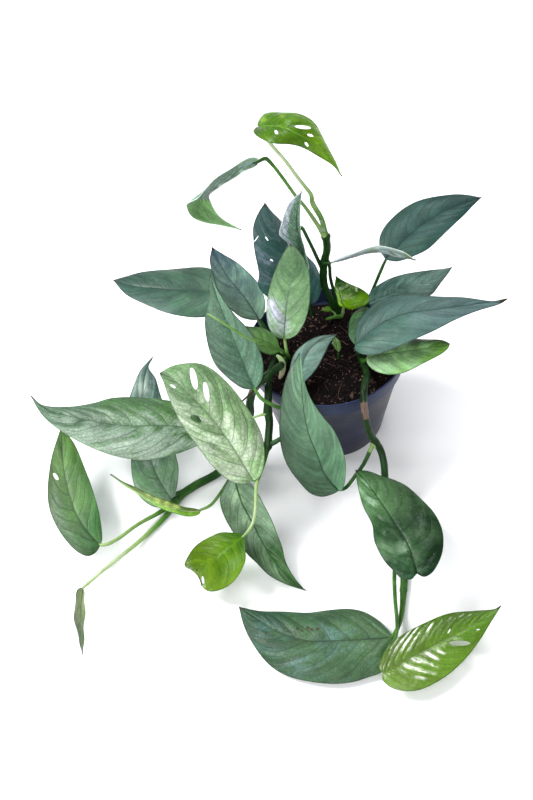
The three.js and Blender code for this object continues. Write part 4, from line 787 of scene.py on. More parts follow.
def hole_loop(blade, hole):
    """The outline of a hole as (across, along) points, found from its pixels."""
    u1, v1, u2, v2, width = hole
    centre = np.array([(u1 + u2) / 2, (v1 + v2) / 2])
    half = math.hypot(u2 - u1, v2 - v1) / 2
    longways = np.array([u2 - u1, v2 - v1]) / (2 * half)
    sideways = np.array([-longways[1], longways[0]])
    angles = np.linspace(0, 2 * math.pi, HOLE_POINTS, endpoint=False)
    target = (centre + half * np.cos(angles)[:, None] * longways
              + width / 2 * np.sin(angles)[:, None] * sideways)
    t, q = np.meshgrid(np.linspace(0, 1, 161), np.linspace(-1.15, 1.15, 121), indexing="ij")
    seen = pixel_of(blade.surface(t, q))
    loop = []
    for goal in target:
        gap = np.linalg.norm(seen - goal, axis=-1)
        i, j = np.unravel_index(gap.argmin(), gap.shape)
        spot = np.array([t[i, j], q[i, j]])
        for _ in range(3):
            here = pixel_of(blade.surface(spot[:1], spot[1:]))[0]
            by_t = pixel_of(blade.surface(spot[:1] + NUDGE, spot[1:]))[0] - here
            by_q = pixel_of(blade.surface(spot[:1], spot[1:] + NUDGE))[0] - here
            change = np.linalg.lstsq(np.stack([by_t, by_q], 1) / NUDGE, goal - here,
                                     rcond=None)[0]
            spot = np.clip(spot + np.clip(change, -0.03, 0.03), (0, -1.2), (1, 1.2))
        loop.append((spot[1], spot[0]))
    return np.array(loop)


def inside(points, loop):
    """Which points lie in a closed loop."""
    x, y = points[:, 0], points[:, 1]
    hit = np.zeros(len(points), bool)
    for (x1, y1), (x2, y2) in zip(loop, np.roll(loop, -1, axis=0)):
        crosses = (y1 > y) != (y2 > y)
        at = (x2 - x1) * (y - y1) / (y2 - y1 + 1e-12) + x1
        hit ^= crosses & (x < at)
    return hit


def sheet_mesh(blade, rows, columns, holes):
    """The sheet's (across, along) points and its faces, without the holes."""
    along = np.linspace(0, 1, rows + 1)
    spread = np.linspace(-1, 1, 2 * columns + 1)
    across = np.sign(spread) * np.abs(spread) ** COLUMN_CROWDING
    t, q = np.meshgrid(along, across, indexing="ij")
    points = np.stack([q.ravel(), t.ravel()], 1)
    if not holes:
        wide = len(across)
        faces = [(i * wide + j, i * wide + j + 1, (i + 1) * wide + j + 1, (i + 1) * wide + j)
                 for i in range(rows) for j in range(wide - 1)]
        return points, faces
    loops = [hole_loop(blade, hole) for hole in holes]
    scale = np.array([blade.half, blade.length])
    border = (np.abs(points[:, 0]) > 0.999) | (points[:, 1] < 0.001) | (points[:, 1] > 0.999)
    keep = np.ones(len(points), bool)
    for loop in loops:
        middle = loop.mean(0)
        for grow in (1.0, 1.12):
            keep &= ~inside(points, middle + (loop - middle) * grow) | border
    kept = [tuple(p * scale) for p in points[keep]]
    edges = []
    for loop in loops:
        first = len(kept)
        kept += [tuple(p * scale) for p in loop]
        edges += [(first + k, first + (k + 1) % len(loop)) for k in range(len(loop))]
    made = delaunay_2d_cdt([Vector(p) for p in kept], edges, [], 0, 1e-5)
    flat = np.array([tuple(p) for p in made[0]]) / scale
    faces = [tuple(face) for face in made[2]]
    centres = np.array([flat[list(face)].mean(0) for face in faces])
    gone = np.abs(centres[:, 0]) > 1
    for loop in loops:
        gone |= inside(centres, loop)
    faces = [face for face, away in zip(faces, gone) if not away]
    used = sorted({k for face in faces for k in face})
    order = {k: n for n, k in enumerate(used)}
    faces = [tuple(order[k] for k in face) for face in faces]
    flat = np.clip(flat[used], (-1, 0), (1, 1))
    return flat, faces


def corner_normals(points, faces):
    """The average direction of the faces round every point."""
    normals = np.zeros_like(points)
    for size in (3, 4):
        some = np.array([f for f in faces if len(f) == size])
        if len(some) == 0:
            continue
        diagonal = points[some[:, 2]] - points[some[:, 0]]
        other = points[some[:, -1]] - points[some[:, 1]]
        if size == 3:
            diagonal = points[some[:, 1]] - points[some[:, 0]]
            other = points[some[:, 2]] - points[some[:, 0]]
        face_normals = np.cross(diagonal, other)
        for k in range(size):
            np.add.at(normals, some[:, k], face_normals)
    return normals / np.maximum(np.linalg.norm(normals, axis=1, keepdims=True), 1e-9)


print("sheet meshing ready")

# %% [markdown]
# ## The leaf skin
# The leaves are waxy. On this species the blade is blue-green with a silvery
# bloom, the midrib and the side veins are drawn in it as fine sunken lines, and
# pale streaks run along them. Young leaves are yellow-green and glossy. The
# underside is paler and duller, with the midrib standing out of it. A waxy leaf
# has an IOR near 1.45 and a roughness from 0.3 when young to 0.5.
#
# One row of a table describes each leaf. Its body runs from one colour at the
# stalk to another at the tip, and tilt makes one half lighter. pale is how far
# the streaks cover it, veins how many side veins a half has, and rough the
# roughness. A leaf that differs from the rest in something else says so at the
# end of its row.

# %% Kinds of leaf
WAX_IOR = 1.45
# The colours of margin and underside, how dark the veins are, and the shine.
KINDS = {
    "blue": dict(rim="1f2d2d", under="8b9f9a", net=0.4, gloss=0.3),
    "green": dict(rim="1f341f", under="8fa593", net=0.5, gloss=0.35),
    "grey": dict(rim="2e4438", under="93a79b", net=0.45, gloss=0.3),
    "pale": dict(rim="3a5733", under="9fb3a0", net=0.6, gloss=0.35),
    "silver": dict(rim="d5dedb", under="5f8468", net=0.35, gloss=0.3),
    "bright": dict(rim="2c4a12", under="86a860", net=0.45, gloss=0.4),
}
LOOK_COLUMNS = ("kind", "near", "far", "streak", "rib", "tilt", "pale", "veins", "rough")
# quilt and wave are heights in mm. lean moves the streaks to one half, mottle breaks
# them up, and they fade out from fade on. light is the strength of the bloom and of the
# painted highlights, both drawn in the streak colour, and crests keeps them off the veins.
# tip_body is a second body colour, beyond turn along the leaf or beyond split across it.
# crackle is the mesh, and tip is where it is dead.
LOOK_DEFAULTS = dict(quilt=0.35, wave=0.6, lean=0.0, mottle=0.28, light=0.7, crests=0.0,
                     split=0.1, turn=2.0, tip_body=None, crackle=0.3, tip=0.965, fade=0.8)
LOOKS = {
    "top_glossy": ("bright", "3b630e", "66920a", "8fac3c", "598727", -0.23, 0.2, 7, 0.26,
        dict(quilt=0.5, gloss=0.2, light=0.35)),
    "folded_back": ("silver", "556f58", "90a297", "b6c8c0", "637481", -0.4, 0.25, 8, 0.4,
        dict(tip_body="79a46a", turn=0.6, gloss=0.12, mottle=0.1, light=0.8, net=0.6)),
    "tall_blue": ("blue", "42726b", "3e5c58", "92a0b5", "4c595e", 0.13, 0.35, 9, 0.42,
        dict(net=0.3, light=0.6, tip=0.955)),
    "silver_curled": ("silver", "7b9092", "7b9092", "b0bcc4", "2e4837", 0.0, 0.8, 11, 0.4,
        dict(lean=-0.5, tip_body="6d9177", mottle=0.05, light=0.95, split=-0.6, gloss=0.2,
             net=0.9, crackle=0.4)),
    "pale_centre": ("pale", "8db481", "598054", "cdcde1", "637a67", 0.23, 0.3, 12, 0.38,
        dict(lean=-0.35, mottle=0.25, light=0.95, net=0.4, crackle=0.5, fade=0.42)),
    "grey_left": ("blue", "92b99e", "4b626e", "91a79f", "495d60", 0.49, 0.35, 11, 0.42,
        dict(net=0.35, tip=0.955)),
    "far_left": ("blue", "3b5d45", "28443a", "58706b", "283a38", -0.21, 0.35, 11, 0.42,
        dict(net=0.35)),
    "left_upright": ("green", "4b6f57", "5a7a63", "6b8e79", "375642", 0.45, 0.4, 12, 0.4,
        dict(net=0.4, crackle=0.5)),
    "small_green": ("green", "5e8f46", "0d240a", "749a4c", "3c5723", 0.14, 0.4, 8, 0.4, dict()),
    "over_soil": ("grey", "60867a", "597469", "838d83", "455349", -0.01, 0.5, 10, 0.42,
        dict(net=0.35)),
    "front_large": ("green", "557e5d", "769f7d", "4e6e54", "253e29", 0.76, 0.4, 15, 0.4,
        dict(quilt=1.2, light=0.4, net=0.3, tip=0.99)),
    "narrow_trailing": ("green", "6f8a6f", "16400a", "8fae86", "163d0a", 0.32, 0.3, 9, 0.4,
        dict(quilt=0.5, mottle=0.12, light=0.5, gloss=0.25)),
    "fenestrated": ("pale", "86a775", "5c7d52", "ccd8c2", "62735b", 0.26, 0.5, 8, 0.38,
        dict(quilt=0.7, lean=-0.4, light=0.15, mottle=0.12, crackle=0.5)),
    "round_bright": ("bright", "325d0a", "597816", "a3b39a", "49730a", 0.12, 0.0, 7, 0.28,
        dict(gloss=0.1, net=0.35, light=0.8)),
    "long_silver": ("pale", "3a612c", "4a664f", "778c79", "283f2a", -0.02, 0.85, 10, 0.38,
        dict(quilt=0.7, lean=-0.55, light=0.9, mottle=0.15, crackle=0.5)),
    "behind_long": ("grey", "6a9069", "45605c", "a4b4a8", "536552", 0.0, 0.45, 8, 0.42,
        dict(light=0.5)),
    "left_trailing": ("green", "376234", "4e6f36", "55754c", "2c4725", 0.42, 0.4, 8, 0.4, dict()),
    "small_edge": ("green", "899d67", "29520a", "6a8d42", "39521f", 0.55, 0.4, 8, 0.4, dict()),
    "edge_bright": ("bright", "416d0a", "7fa05f", "c6da76", "96a075", -0.8, 0.35, 8, 0.28,
        dict(mottle=0.1, net=0.7, light=0.85, gloss=0.2)),
    "right_heart": ("green", "0e2e16", "44643f", "8fae90", "0a290b", -0.41, 0.1, 7, 0.3,
        dict(quilt=1.3, light=0.45, gloss=0.13, net=0.35, mottle=0.35)),
    "floor_left": ("green", "405f39", "22452d", "496c68", "1e3321", -0.01, 0.4, 9, 0.4,
        dict(quilt=0.9, light=0.45, net=0.45, crackle=0.5)),
    # Its near-white streak colour is a painted highlight, laid between the veins by crests.
    "floor_right": ("bright", "536f24", "476f0a", "f2f6ea", "496313", 0.36, 0.0, 13, 0.2,
        dict(quilt=1.0, gloss=0.5, mottle=0.35, light=1.0, crests=1.0, tip=0.955)),
    "back_right": ("blue", "2c4a40", "14332f", "2c4548", "112526", 0.12, 0.35, 9, 0.42,
        dict(net=0.35)),
    "right_short": ("blue", "21433a", "566f66", "85b09e", "45675a", -0.39, 0.35, 9, 0.42, dict()),
    "thin_silver": ("silver", "aeb7c0", "627651", "a3b6b6", "49625f", -0.75, 0.6, 8, 0.4, dict()),
    "right_long": ("blue", "355448", "4f6765", "4d6b68", "283a39", 0.16, 0.35, 10, 0.42,
        dict(net=0.3, tip=0.935)),
    "right_bright": ("bright", "698764", "457017", "90bc7f", "477729", 0.8, 0.35, 8, 0.35,
        dict(mottle=0.12, light=0.6)),
    "tucked_under": ("grey", "375a28", "446b49", "5b8d63", "2b5332", 0.0, 0.5, 8, 0.42, dict()),
    "small_bright": ("bright", "85c00a", "0a460a", "c4d8a4", "426f0a", -0.68, 0.35, 5, 0.22,
        dict(gloss=0.12)),
    "shoot_back": ("bright", "669a26", "669a26", "9dc460", "8fb95a", 0.0, 0.35, 4, 0.28,
        dict(quilt=0.15, wave=0.0)),
    "shoot_front": ("bright", "3c5c20", "44682a", "5a7d38", "56763a", 0.0, 0.35, 4, 0.28,
        dict(quilt=0.15, wave=0.0)),
}
for seed, (name, (*row, own)) in enumerate(LOOKS.items()):
    LOOKS[name] = {**LOOK_DEFAULTS, **KINDS[row[0]], **dict(zip(LOOK_COLUMNS, row)), **own,
                   "seed": seed}

# Silvery bloom and painted highlights ("light") and small wounds ("dark"), as pixels
# with a radius.
TOUCHES = {
    "light": {
        # A pale patch low on the left, partly silvery bloom and partly a painted gloss highlight.
        "pale_centre": [(276, 315, 10), (284, 325, 9), (272, 305, 7)],
        "fenestrated": [(236, 437, 12), (248, 452, 12), (225, 420, 10), (205, 400, 7),
                        (243, 470, 9), (182, 372, 8), (258, 440, 8)],
        "long_silver": [(120, 440, 16), (150, 447, 15), (175, 436, 14), (92, 428, 12),
                        (185, 425, 10), (70, 417, 8)],
        "silver_curled": [(288, 216, 8), (292, 205, 7), (286, 228, 6)],
        "folded_back": [(212, 194, 4), (222, 187, 4), (232, 180.5, 4), (243, 173.5, 4)],
        # Painted highlight along the fold.
        "tall_blue": [(262, 256, 5), (268, 262, 5), (256, 249, 4), (241, 262, 5)],
        "narrow_trailing": [(238, 496, 9), (256, 506, 9), (248, 520, 8)],
        "behind_long": [(150, 462, 8), (142, 388, 7)],
        # Painted highlights: white gloss stripes along the midrib.
        "edge_bright": [(150, 493, 4), (158, 499, 4), (167, 503, 4), (176, 507, 4)],
        # Painted highlights: white reflections in streaks between the veins near the base.
        "floor_right": [(404, 642, 10), (394, 650, 6), (414, 633, 9), (428, 626, 6),
                        (416, 664, 9), (431, 658, 8), (441, 651, 5), (421, 674, 7),
                        (434, 669, 5), (405, 668, 5)],
        # A pale band through the middle, partly silvery skin and partly a painted sheen.
        "right_bright": [(405, 348, 9), (425, 350, 8), (390, 356, 8)],
        # Painted highlights on the fold and along the upper right edge.
        "small_bright": [(341, 300, 6), (338, 292, 5), (357, 289, 4)],
        "round_bright": [(187, 560, 4), (189, 569, 4), (202, 586, 4), (212, 590, 3)],
        "thin_silver": [(385, 250, 8), (362, 252, 8), (400, 255, 6)],
        # Painted sheen along the top edge.
        "top_glossy": [(264, 120, 4), (282, 115, 4)],
        "front_large": [(330, 440, 12), (322, 405, 9)],
        "right_heart": [(365, 487, 9), (372, 500, 8), (404, 548, 8)],
        # Blue-grey bloom between the veins, partly a painted sheen.
        "floor_left": [(262, 628, 12), (330, 640, 12), (300, 662, 12)],
    },
    "dark": {
        "floor_left": [(298, 629, 2.2), (303, 631, 2), (308, 628, 2.4), (313, 630, 2),
                       (318, 629, 2.2), (266, 633, 1.6), (276, 652, 1.5)],
        "fenestrated": [(165, 369, 2)],
        "top_glossy": [(256, 128, 1.6)],
        "round_bright": [(197, 570, 1.4)],
    },
}
print(len(LOOKS), "leaves of", len(KINDS), "kinds")

# %% [markdown]
# The skin of a leaf is layered the way one would paint it: the body colour in
# soft patches, pale streaks that follow the side veins, the fine dark lines of
# the veins, the midrib, and a thin margin. All of it reads the distances that
# each point of the leaf carries, so it stays on the leaf from every side.

# %% Leaf material
GRAIN_MM = 0.6
PATCH_MM = 22.0
MOTTLE_MM = 3.0
AREOLE_MM = 3.4
VEIN_SHADE = 0.5
CLOUDING = 0.22
GRAINING = 0.08
STREAKS_A_VEIN = 1.35
STREAKS_A_MM = 0.07
TOUCH_GAIN = 0.14
FADE_SPAN = 0.15
DEAD_SPAN = 0.03
DEAD_TISSUE = "2b2918"


def leaf_skin(name, look):
    """A waxy leaf cuticle, drawn from the measures that the leaf carries."""
    material, tree = blank_material("cuticle_" + name)
    along, across, vein, spine, rim, upper, light, dark = (
        add(tree, "Attribute", attribute_name=key).outputs["Fac"]
        for key in ("along", "across", "vein", "spine", "rim", "upper", "light", "dark"))
    spot = add(tree, "TexCoord").outputs["Object"]

    # The body goes from the base colour to the tip colour in broad patches.
    patches = add(tree, "TexNoise", {"Vector": spot, "Scale": 1 / (PATCH_MM * MM),
                                     "Detail": 6.0, "Roughness": 0.62})
    mottle = add(tree, "TexNoise", {"Vector": spot, "Scale": 1 / (MOTTLE_MM * MM),
                                    "Detail": 4.0, "Roughness": 0.6})
    wide = add(tree, "Math", {0: patches, 1: 1.6, 2: -0.8}, operation="MULTIPLY_ADD")
    place_on = add(tree, "Math", {0: along, 1: wide}, operation="ADD")
    share = add(tree, "MapRange", {0: place_on, 1: 0.0, 2: 1.0}, **SMOOTH)
    colour = add(tree, "Mix", {0: share, 6: linear(look["near"]), 7: linear(look["far"])},
                 **BLEND).outputs[2]
    side = add(tree, "Math", {0: across, 1: look["tilt"], 2: 1.0}, operation="MULTIPLY_ADD")
    colour = add(tree, "VectorMath", {0: colour, "Scale": side}, operation="SCALE")

    # Silvery streaks follow the side veins: the noise is stretched along them.
    sideways = add(tree, "Math", {0: vein, 1: STREAKS_A_VEIN}, operation="MULTIPLY")
    outwards = add(tree, "Math", {0: spine, 1: STREAKS_A_MM}, operation="MULTIPLY")
    ribbon = add(tree, "CombineXYZ", {0: sideways, 1: outwards, 2: 3.7 * look["seed"]})
    streaks = add(tree, "TexNoise", {"Vector": ribbon, "Scale": 1.0, "Detail": 5.0,
                                     "Roughness": 0.65})
    leaning = add(tree, "Math", {0: across, 1: 0.2 * look["lean"], 2: streaks},
                  operation="MULTIPLY_ADD")
    broken = add(tree, "Math", {0: mottle, 1: look["mottle"], 2: leaning},
                 operation="MULTIPLY_ADD")
    touched = add(tree, "Math", {0: light, 1: TOUCH_GAIN, 2: broken}, operation="MULTIPLY_ADD")
    shift = 0.5 * look["mottle"]
    pale = add(tree, "MapRange", {0: touched, 1: 0.46 + shift, 2: 0.72 + shift, 3: 0.0,
                                  4: look["pale"]}, **SMOOTH)
    short = add(tree, "MapRange", {0: along, 1: look["fade"], 2: look["fade"] + FADE_SPAN,
                                   3: 1.0, 4: 0.0}, **SMOOTH)
    pale = add(tree, "Math", {0: pale, 1: short}, operation="MULTIPLY")
    colour = add(tree, "Mix", {0: pale, 6: colour, 7: linear(look["streak"])}, **BLEND).outputs[2]

    # The bloom, and on some leaves a painted highlight, lies where the table of touches
    # says, and may keep off the veins.
    cycle = add(tree, "Math", {0: vein}, operation="FRACT")
    centred = add(tree, "Math", {0: cycle, 1: 0.5}, operation="SUBTRACT")
    to_vein = add(tree, "Math", {0: centred}, operation="ABSOLUTE")
    between = add(tree, "Math", {0: 0.5, 1: to_vein}, operation="SUBTRACT")
    bloom_and_highlight = add(tree, "MapRange", {0: broken, 1: 0.38 + shift, 2: 0.6 + shift}, **SMOOTH)
    bloom_and_highlight = add(tree, "Math", {0: light, 1: bloom_and_highlight}, operation="MULTIPLY")
    uneven = add(tree, "Math", {0: streaks, 1: 0.5, 2: -0.25}, operation="MULTIPLY_ADD")
    uneven = add(tree, "Math", {0: between, 1: uneven}, operation="ADD")
    crests = add(tree, "MapRange", {0: uneven, 1: 0.14, 2: 0.3, 3: 1.0, 4: 1.0 - look["crests"]},
                 **SMOOTH)
    bloom_and_highlight = add(tree, "Math", {0: bloom_and_highlight, 1: crests}, operation="MULTIPLY")
    bloom_and_highlight = add(tree, "Math", {0: bloom_and_highlight, 1: look["light"]}, operation="MULTIPLY")
    colour = add(tree, "Mix", {0: bloom_and_highlight, 6: colour, 7: linear(look["streak"])},
                 **BLEND).outputs[2]

    # Side veins, forked veins between them, and a fine mesh darken the body.
    inner = add(tree, "MapRange", {0: rim, 1: 0.4, 2: 5.0}, **SMOOTH)
    lateral = add(tree, "MapRange", {0: to_vein, 1: 0.005, 2: 0.085, 3: 0.85, 4: 0.0}, **SMOOTH)
    apart = add(tree, "Math", {0: across}, operation="ABSOLUTE")
    outer = add(tree, "MapRange", {0: apart, 1: 0.25, 2: 0.6}, **SMOOTH)
    forked = add(tree, "MapRange", {0: between, 1: 0.005, 2: 0.07, 3: 0.45, 4: 0.0}, **SMOOTH)
    forked = add(tree, "Math", {0: forked, 1: outer}, operation="MULTIPLY")
    lines = add(tree, "Math", {0: lateral, 1: forked}, operation="MAXIMUM")
    lines = add(tree, "Math", {0: lines, 1: inner}, operation="MULTIPLY")
    cells = add(tree, "TexVoronoi", {"Vector": spot, "Scale": 1 / (AREOLE_MM * MM)},
                feature="DISTANCE_TO_EDGE")
    areoles = add(tree, "MapRange", {0: cells, 1: 0.02, 2: 0.14, 3: look["crackle"], 4: 0.0},
                  **SMOOTH)
    net = add(tree, "Math", {0: lines, 1: areoles}, operation="MAXIMUM")
    shaded = add(tree, "Math", {0: net, 1: -VEIN_SHADE * look["net"] * 2, 2: 1.0},
                 operation="MULTIPLY_ADD")
    colour = add(tree, "VectorMath", {0: colour, "Scale": shaded}, operation="SCALE")

    # The midrib, the part of another colour, the underside, the margin and wounds.
    ahead = add(tree, "Math", {0: along, 1: 0.9}, operation="ADD")
    slender = add(tree, "Math", {0: spine, 1: ahead}, operation="MULTIPLY")
    midrib = add(tree, "MapRange", {0: slender, 1: 0.4, 2: 0.95, 3: 0.85, 4: 0.0}, **SMOOTH)
    colour = add(tree, "Mix", {0: midrib, 6: colour, 7: linear(look["rib"])}, **BLEND).outputs[2]
    if look["tip_body"]:
        where, middle, soft = ((along, look["turn"], 0.012) if look["turn"] < 1
                               else (across, look["split"], 0.08))
        far = add(tree, "MapRange", {0: where, 1: middle - soft, 2: middle + soft}, **SMOOTH)
        other = add(tree, "VectorMath", {0: linear(look["tip_body"])[:3], "Scale": shaded},
                    operation="SCALE")
        colour = add(tree, "Mix", {0: far, 6: colour, 7: other}, **BLEND).outputs[2]
    below = add(tree, "VectorMath", {0: linear(look["under"])[:3], "Scale": shaded},
                operation="SCALE")
    colour = add(tree, "Mix", {0: upper, 6: below, 7: colour}, **BLEND).outputs[2]
    margin = add(tree, "MapRange", {0: rim, 1: 0.3, 2: 0.85, 3: 0.75, 4: 0.0}, **SMOOTH)
    colour = add(tree, "Mix", {0: margin, 6: colour, 7: linear(look["rim"])}, **BLEND).outputs[2]
    tip = add(tree, "MapRange", {0: along, 1: look["tip"], 2: look["tip"] + DEAD_SPAN}, **SMOOTH)
    wounds = add(tree, "MapRange", {0: dark, 1: 0.3, 2: 0.7}, **SMOOTH)
    dead = add(tree, "Math", {0: tip, 1: wounds}, operation="MAXIMUM")
    colour = add(tree, "Mix", {0: dead, 6: colour, 7: linear(DEAD_TISSUE)}, **BLEND).outputs[2]

    # Clouds along the veins and a fine grain keep every patch alive.
    grain = add(tree, "TexNoise", {"Vector": spot, "Scale": 1 / (GRAIN_MM * MM), "Detail": 2.0})
    clouds = add(tree, "TexNoise", {"Vector": ribbon, "Scale": 0.8, "Detail": 2.0})
    for pattern, low, high, depth in ((clouds, 0.3, 0.7, CLOUDING),
                                      (grain, 0.25, 0.75, GRAINING),
                                      (mottle, 0.25, 0.75, GRAINING)):
        shade = add(tree, "MapRange", {0: pattern, 1: low, 2: high, 3: 1 - depth, 4: 1 + depth},
                    **SMOOTH)
        colour = add(tree, "VectorMath", {0: colour, "Scale": shade}, operation="SCALE")
    rough = add(tree, "MapRange", {0: patches, 1: 0.3, 2: 0.7, 3: look["rough"] - 0.05,
                                   4: look["rough"] + 0.08}, **SMOOTH)
    sunk = add(tree, "Math", {0: net, 1: -0.8}, operation="MULTIPLY")
    raised = add(tree, "Math", {0: mottle, 1: 0.5, 2: sunk}, operation="MULTIPLY_ADD")
    relief = add(tree, "Bump", {"Height": raised, "Strength": 0.6, "Distance": 0.35 * MM})
    shader = add(tree, "BsdfPrincipled", {"Base Color": colour, "Roughness": rough,
                                          "Normal": relief, "IOR": WAX_IOR,
                                          "Specular IOR Level": look["gloss"]})
    add(tree, "OutputMaterial", {"Surface": shader})
    return material


print("leaf material ready")

# %% [markdown]
# ## Making the blades
# Each sheet becomes a closed blade: an upper face, an under face with the midrib
# standing out of it, and a thin margin that joins the two. It takes the place
# of the plain solid of the same leaf.

# %% Blades
ROW_MM = 1.7
ROW_LIMITS = (14, 84)
COLUMN_MM = 1.5
COLUMN_LIMITS = (4, 18)
SHEET_MM = 0.42
MARGIN_MM = 0.2
RIB_MM = 0.75
UNDERSIDES = ("folded_back", "silver_curled", "thin_silver")
BLADES = {}


def make_blade(name, leaf):
    """The closed blade of one leaf, with its measures for the material."""
    look = LOOKS[name]
    blade = BLADES[name] = Blade(leaf, look)
    rows = int(np.clip(blade.length / ROW_MM, *ROW_LIMITS))
    columns = int(np.clip(blade.half / COLUMN_MM, *COLUMN_LIMITS))
    flat, faces = sheet_mesh(blade, rows, columns, leaf.get("holes"))
    q, t = flat.T
    middle = blade.surface(t, q)
    if blade.facing < 0:
        faces = [face[::-1] for face in faces]
    up = corner_normals(middle, faces)
    notes = blade.measures(t, q)
    sheet = MARGIN_MM + (SHEET_MM - MARGIN_MM) * (1 - np.abs(q) ** 6)
    rib = RIB_MM * (1 - 0.75 * t) * np.exp(-(notes["spine"] / GROOVE_MM) ** 2)
    upper_side = middle + up * (sheet / 2)[:, None]
    under_side = middle - up * (sheet / 2)[:, None]
    if name in UNDERSIDES:
        upper_side += up * (0.6 * rib)[:, None]
    else:
        under_side -= up * rib[:, None]
    count = len(middle)
    edges = {}
    for face in faces:
        edges.update(dict.fromkeys(zip(face, face[1:] + face[:1])))
    border = [(a, b) for a, b in edges if (b, a) not in edges]
    solid = list(faces) + [tuple(k + count for k in face[::-1]) for face in faces]
    solid += [(b, a, a + count, b + count) for a, b in border]
    piece = new_piece("blade_" + name, np.concatenate([upper_side, under_side]), solid,
                      leaf_skin(name, look), ["leaf_" + name])
    for key, values in notes.items():
        store(piece.data, key, np.concatenate([values, values]))
    store(piece.data, "upper", np.repeat([1.0, 0.0], count))
    for key, touches in TOUCHES.items():
        painted(piece.data, key, middle, touches.get(name, ()), 0.3, 1.3)
    rim = {tuple(sorted(edge)) for edge in border}
    rim |= {tuple(sorted((a + count, b + count))) for a, b in border}
    for edge in piece.data.edges:
        if tuple(sorted(edge.vertices)) in rim:
            edge.use_edge_sharp = True
    return piece


for name, leaf in LEAVES.items():
    piece = make_blade(name, leaf)
    print(piece.name, round(BLADES[name].length), "mm long,", len(piece.data.polygons), "faces")

# %% [markdown]
# ## Stems
# A vine of this species is a green rope about 5 mm thick, finely ridged along
# its length, with a swollen ring at every node where a leaf stalk leaves it.
# The stalks are thinner and start with a clasping flare. Every run is a tube
# along a smooth curve. The runs of one stem are then joined by a Boolean union,
# so that a stem is one closed skin, and each point takes over how far along and
# round its run it lies.

# %% Tubes for stems
VINE_SIDES = 24
STALK_SIDES = 14
TUBE_STEP = 1.6
RIDGES = 9
RIDGE_HEIGHT = 0.03
FLARE_MM = 3.5
NODE_SWELL, NODE_MM = 0.09, 2.2
CREASE_DEPTH, CREASE_MM, CREASE_AFTER = 0.15, 0.45, 2.6
FIRST_SIDE = (0.31, 0.9, 0.17)


def ring_faces(count, sides, base=0):
    """The sides and ends of a closed body of rings, whose points start at base."""
    starts = range(base, base + count * sides, sides)
    faces = [(a + k, a + (k + 1) % sides, a + sides + (k + 1) % sides, a + sides + k)
             for a in starts[:-1] for k in range(sides)]
    return faces + [tuple(range(base, base + sides))[::-1],
                    tuple(range(starts[-1], starts[-1] + sides))]


def tube(path, sides, nodes, flare):
    """A tube with round ends. Returns its points, faces, reach and angle."""
    points = place_marks(path)
    curve = Curve(points)
    marks = np.concatenate([[0], np.cumsum(np.linalg.norm(np.diff(points, axis=0), axis=1))])
    marks = marks / marks[-1] * curve.length
    radii = np.array([mark[3] for mark in path])
    cap = radii[-1] * (1 - np.cos(np.linspace(0, 1, 5) * math.pi / 2))
    body = np.linspace(0, curve.length, max(6, int(curve.length / TUBE_STEP)))
    body = body[(body > radii[0]) & (body < curve.length - radii[-1])]
    reach = np.concatenate([radii[0] * cap[:-1] / radii[-1], body,
                            curve.length - cap[::-1]])
    reach = np.unique(np.round(np.clip(reach, 0, curve.length), 4))
    radius = np.interp(reach, marks, radii)
    near_end = np.minimum(reach / radii[0], (curve.length - reach) / radii[-1])
    near_end = np.clip(near_end, 0, 1)
    radius = radius * (1 + flare * np.exp(-reach / FLARE_MM))
    for spot in nodes:
        radius = radius * (1 + NODE_SWELL * np.exp(-((reach - spot) / NODE_MM) ** 2))
        radius = radius - CREASE_DEPTH * np.exp(
            -((reach - spot - CREASE_AFTER) / CREASE_MM) ** 2)
    radius = radius * np.sqrt(np.clip(1 - (1 - near_end) ** 2, 1e-4, 1))
    centres = curve.along(reach / curve.length)
    ahead = unit(np.gradient(centres, axis=0))
    side = np.array(FIRST_SIDE)
    angles = np.linspace(0, 2 * math.pi, sides, endpoint=False)
    ridge = 1 + RIDGE_HEIGHT * np.cos(RIDGES * angles) * near_end[:, None]
    rings = []
    for k, (centre, onward) in enumerate(zip(centres, ahead)):
        side = side - onward * side.dot(onward)
        side /= np.linalg.norm(side)
        other = np.cross(onward, side)
        ring = np.cos(angles)[:, None] * side + np.sin(angles)[:, None] * other
        rings.append(centre + ring * (radius[k] * ridge[k])[:, None])
    return (np.concatenate(rings), ring_faces(len(reach), sides), np.repeat(reach, sides),
            np.tile(angles, len(reach)))


def combined(parts, operation):
    """A Boolean of the first part with the others, each a pair of points and faces."""
    objects = [plain_object("part", *part) for part in parts]
    first = objects[0]
    for item in objects[1:]:
        step = first.modifiers.new(item.name, "BOOLEAN")
        step.operation = operation
        step.solver = "MANIFOLD"
        step.object = item
    bpy.context.view_layer.update()
    seen = first.evaluated_get(bpy.context.evaluated_depsgraph_get())
    made = bpy.data.meshes.new_from_object(seen)
    points = np.empty(3 * len(made.vertices))
    made.vertices.foreach_get("co", points)
    faces = [tuple(face.vertices) for face in made.polygons]
    for item in objects:
        bpy.data.objects.remove(item)
    return points.reshape(-1, 3) / MM, faces


print("tubes ready")

# %% [markdown]
# The skin of the stems goes from dark green to the pale yellow-green of young
# stalks, with fine lighter lines along them. TONES says for every run of a stem
# how light it is, from 0 to 1, at even steps along it. A few places differ: pale
# rings at nodes, a silvery dry skin, and a brown scar. MARKS gives them as
# pixels of the photograph with a radius.

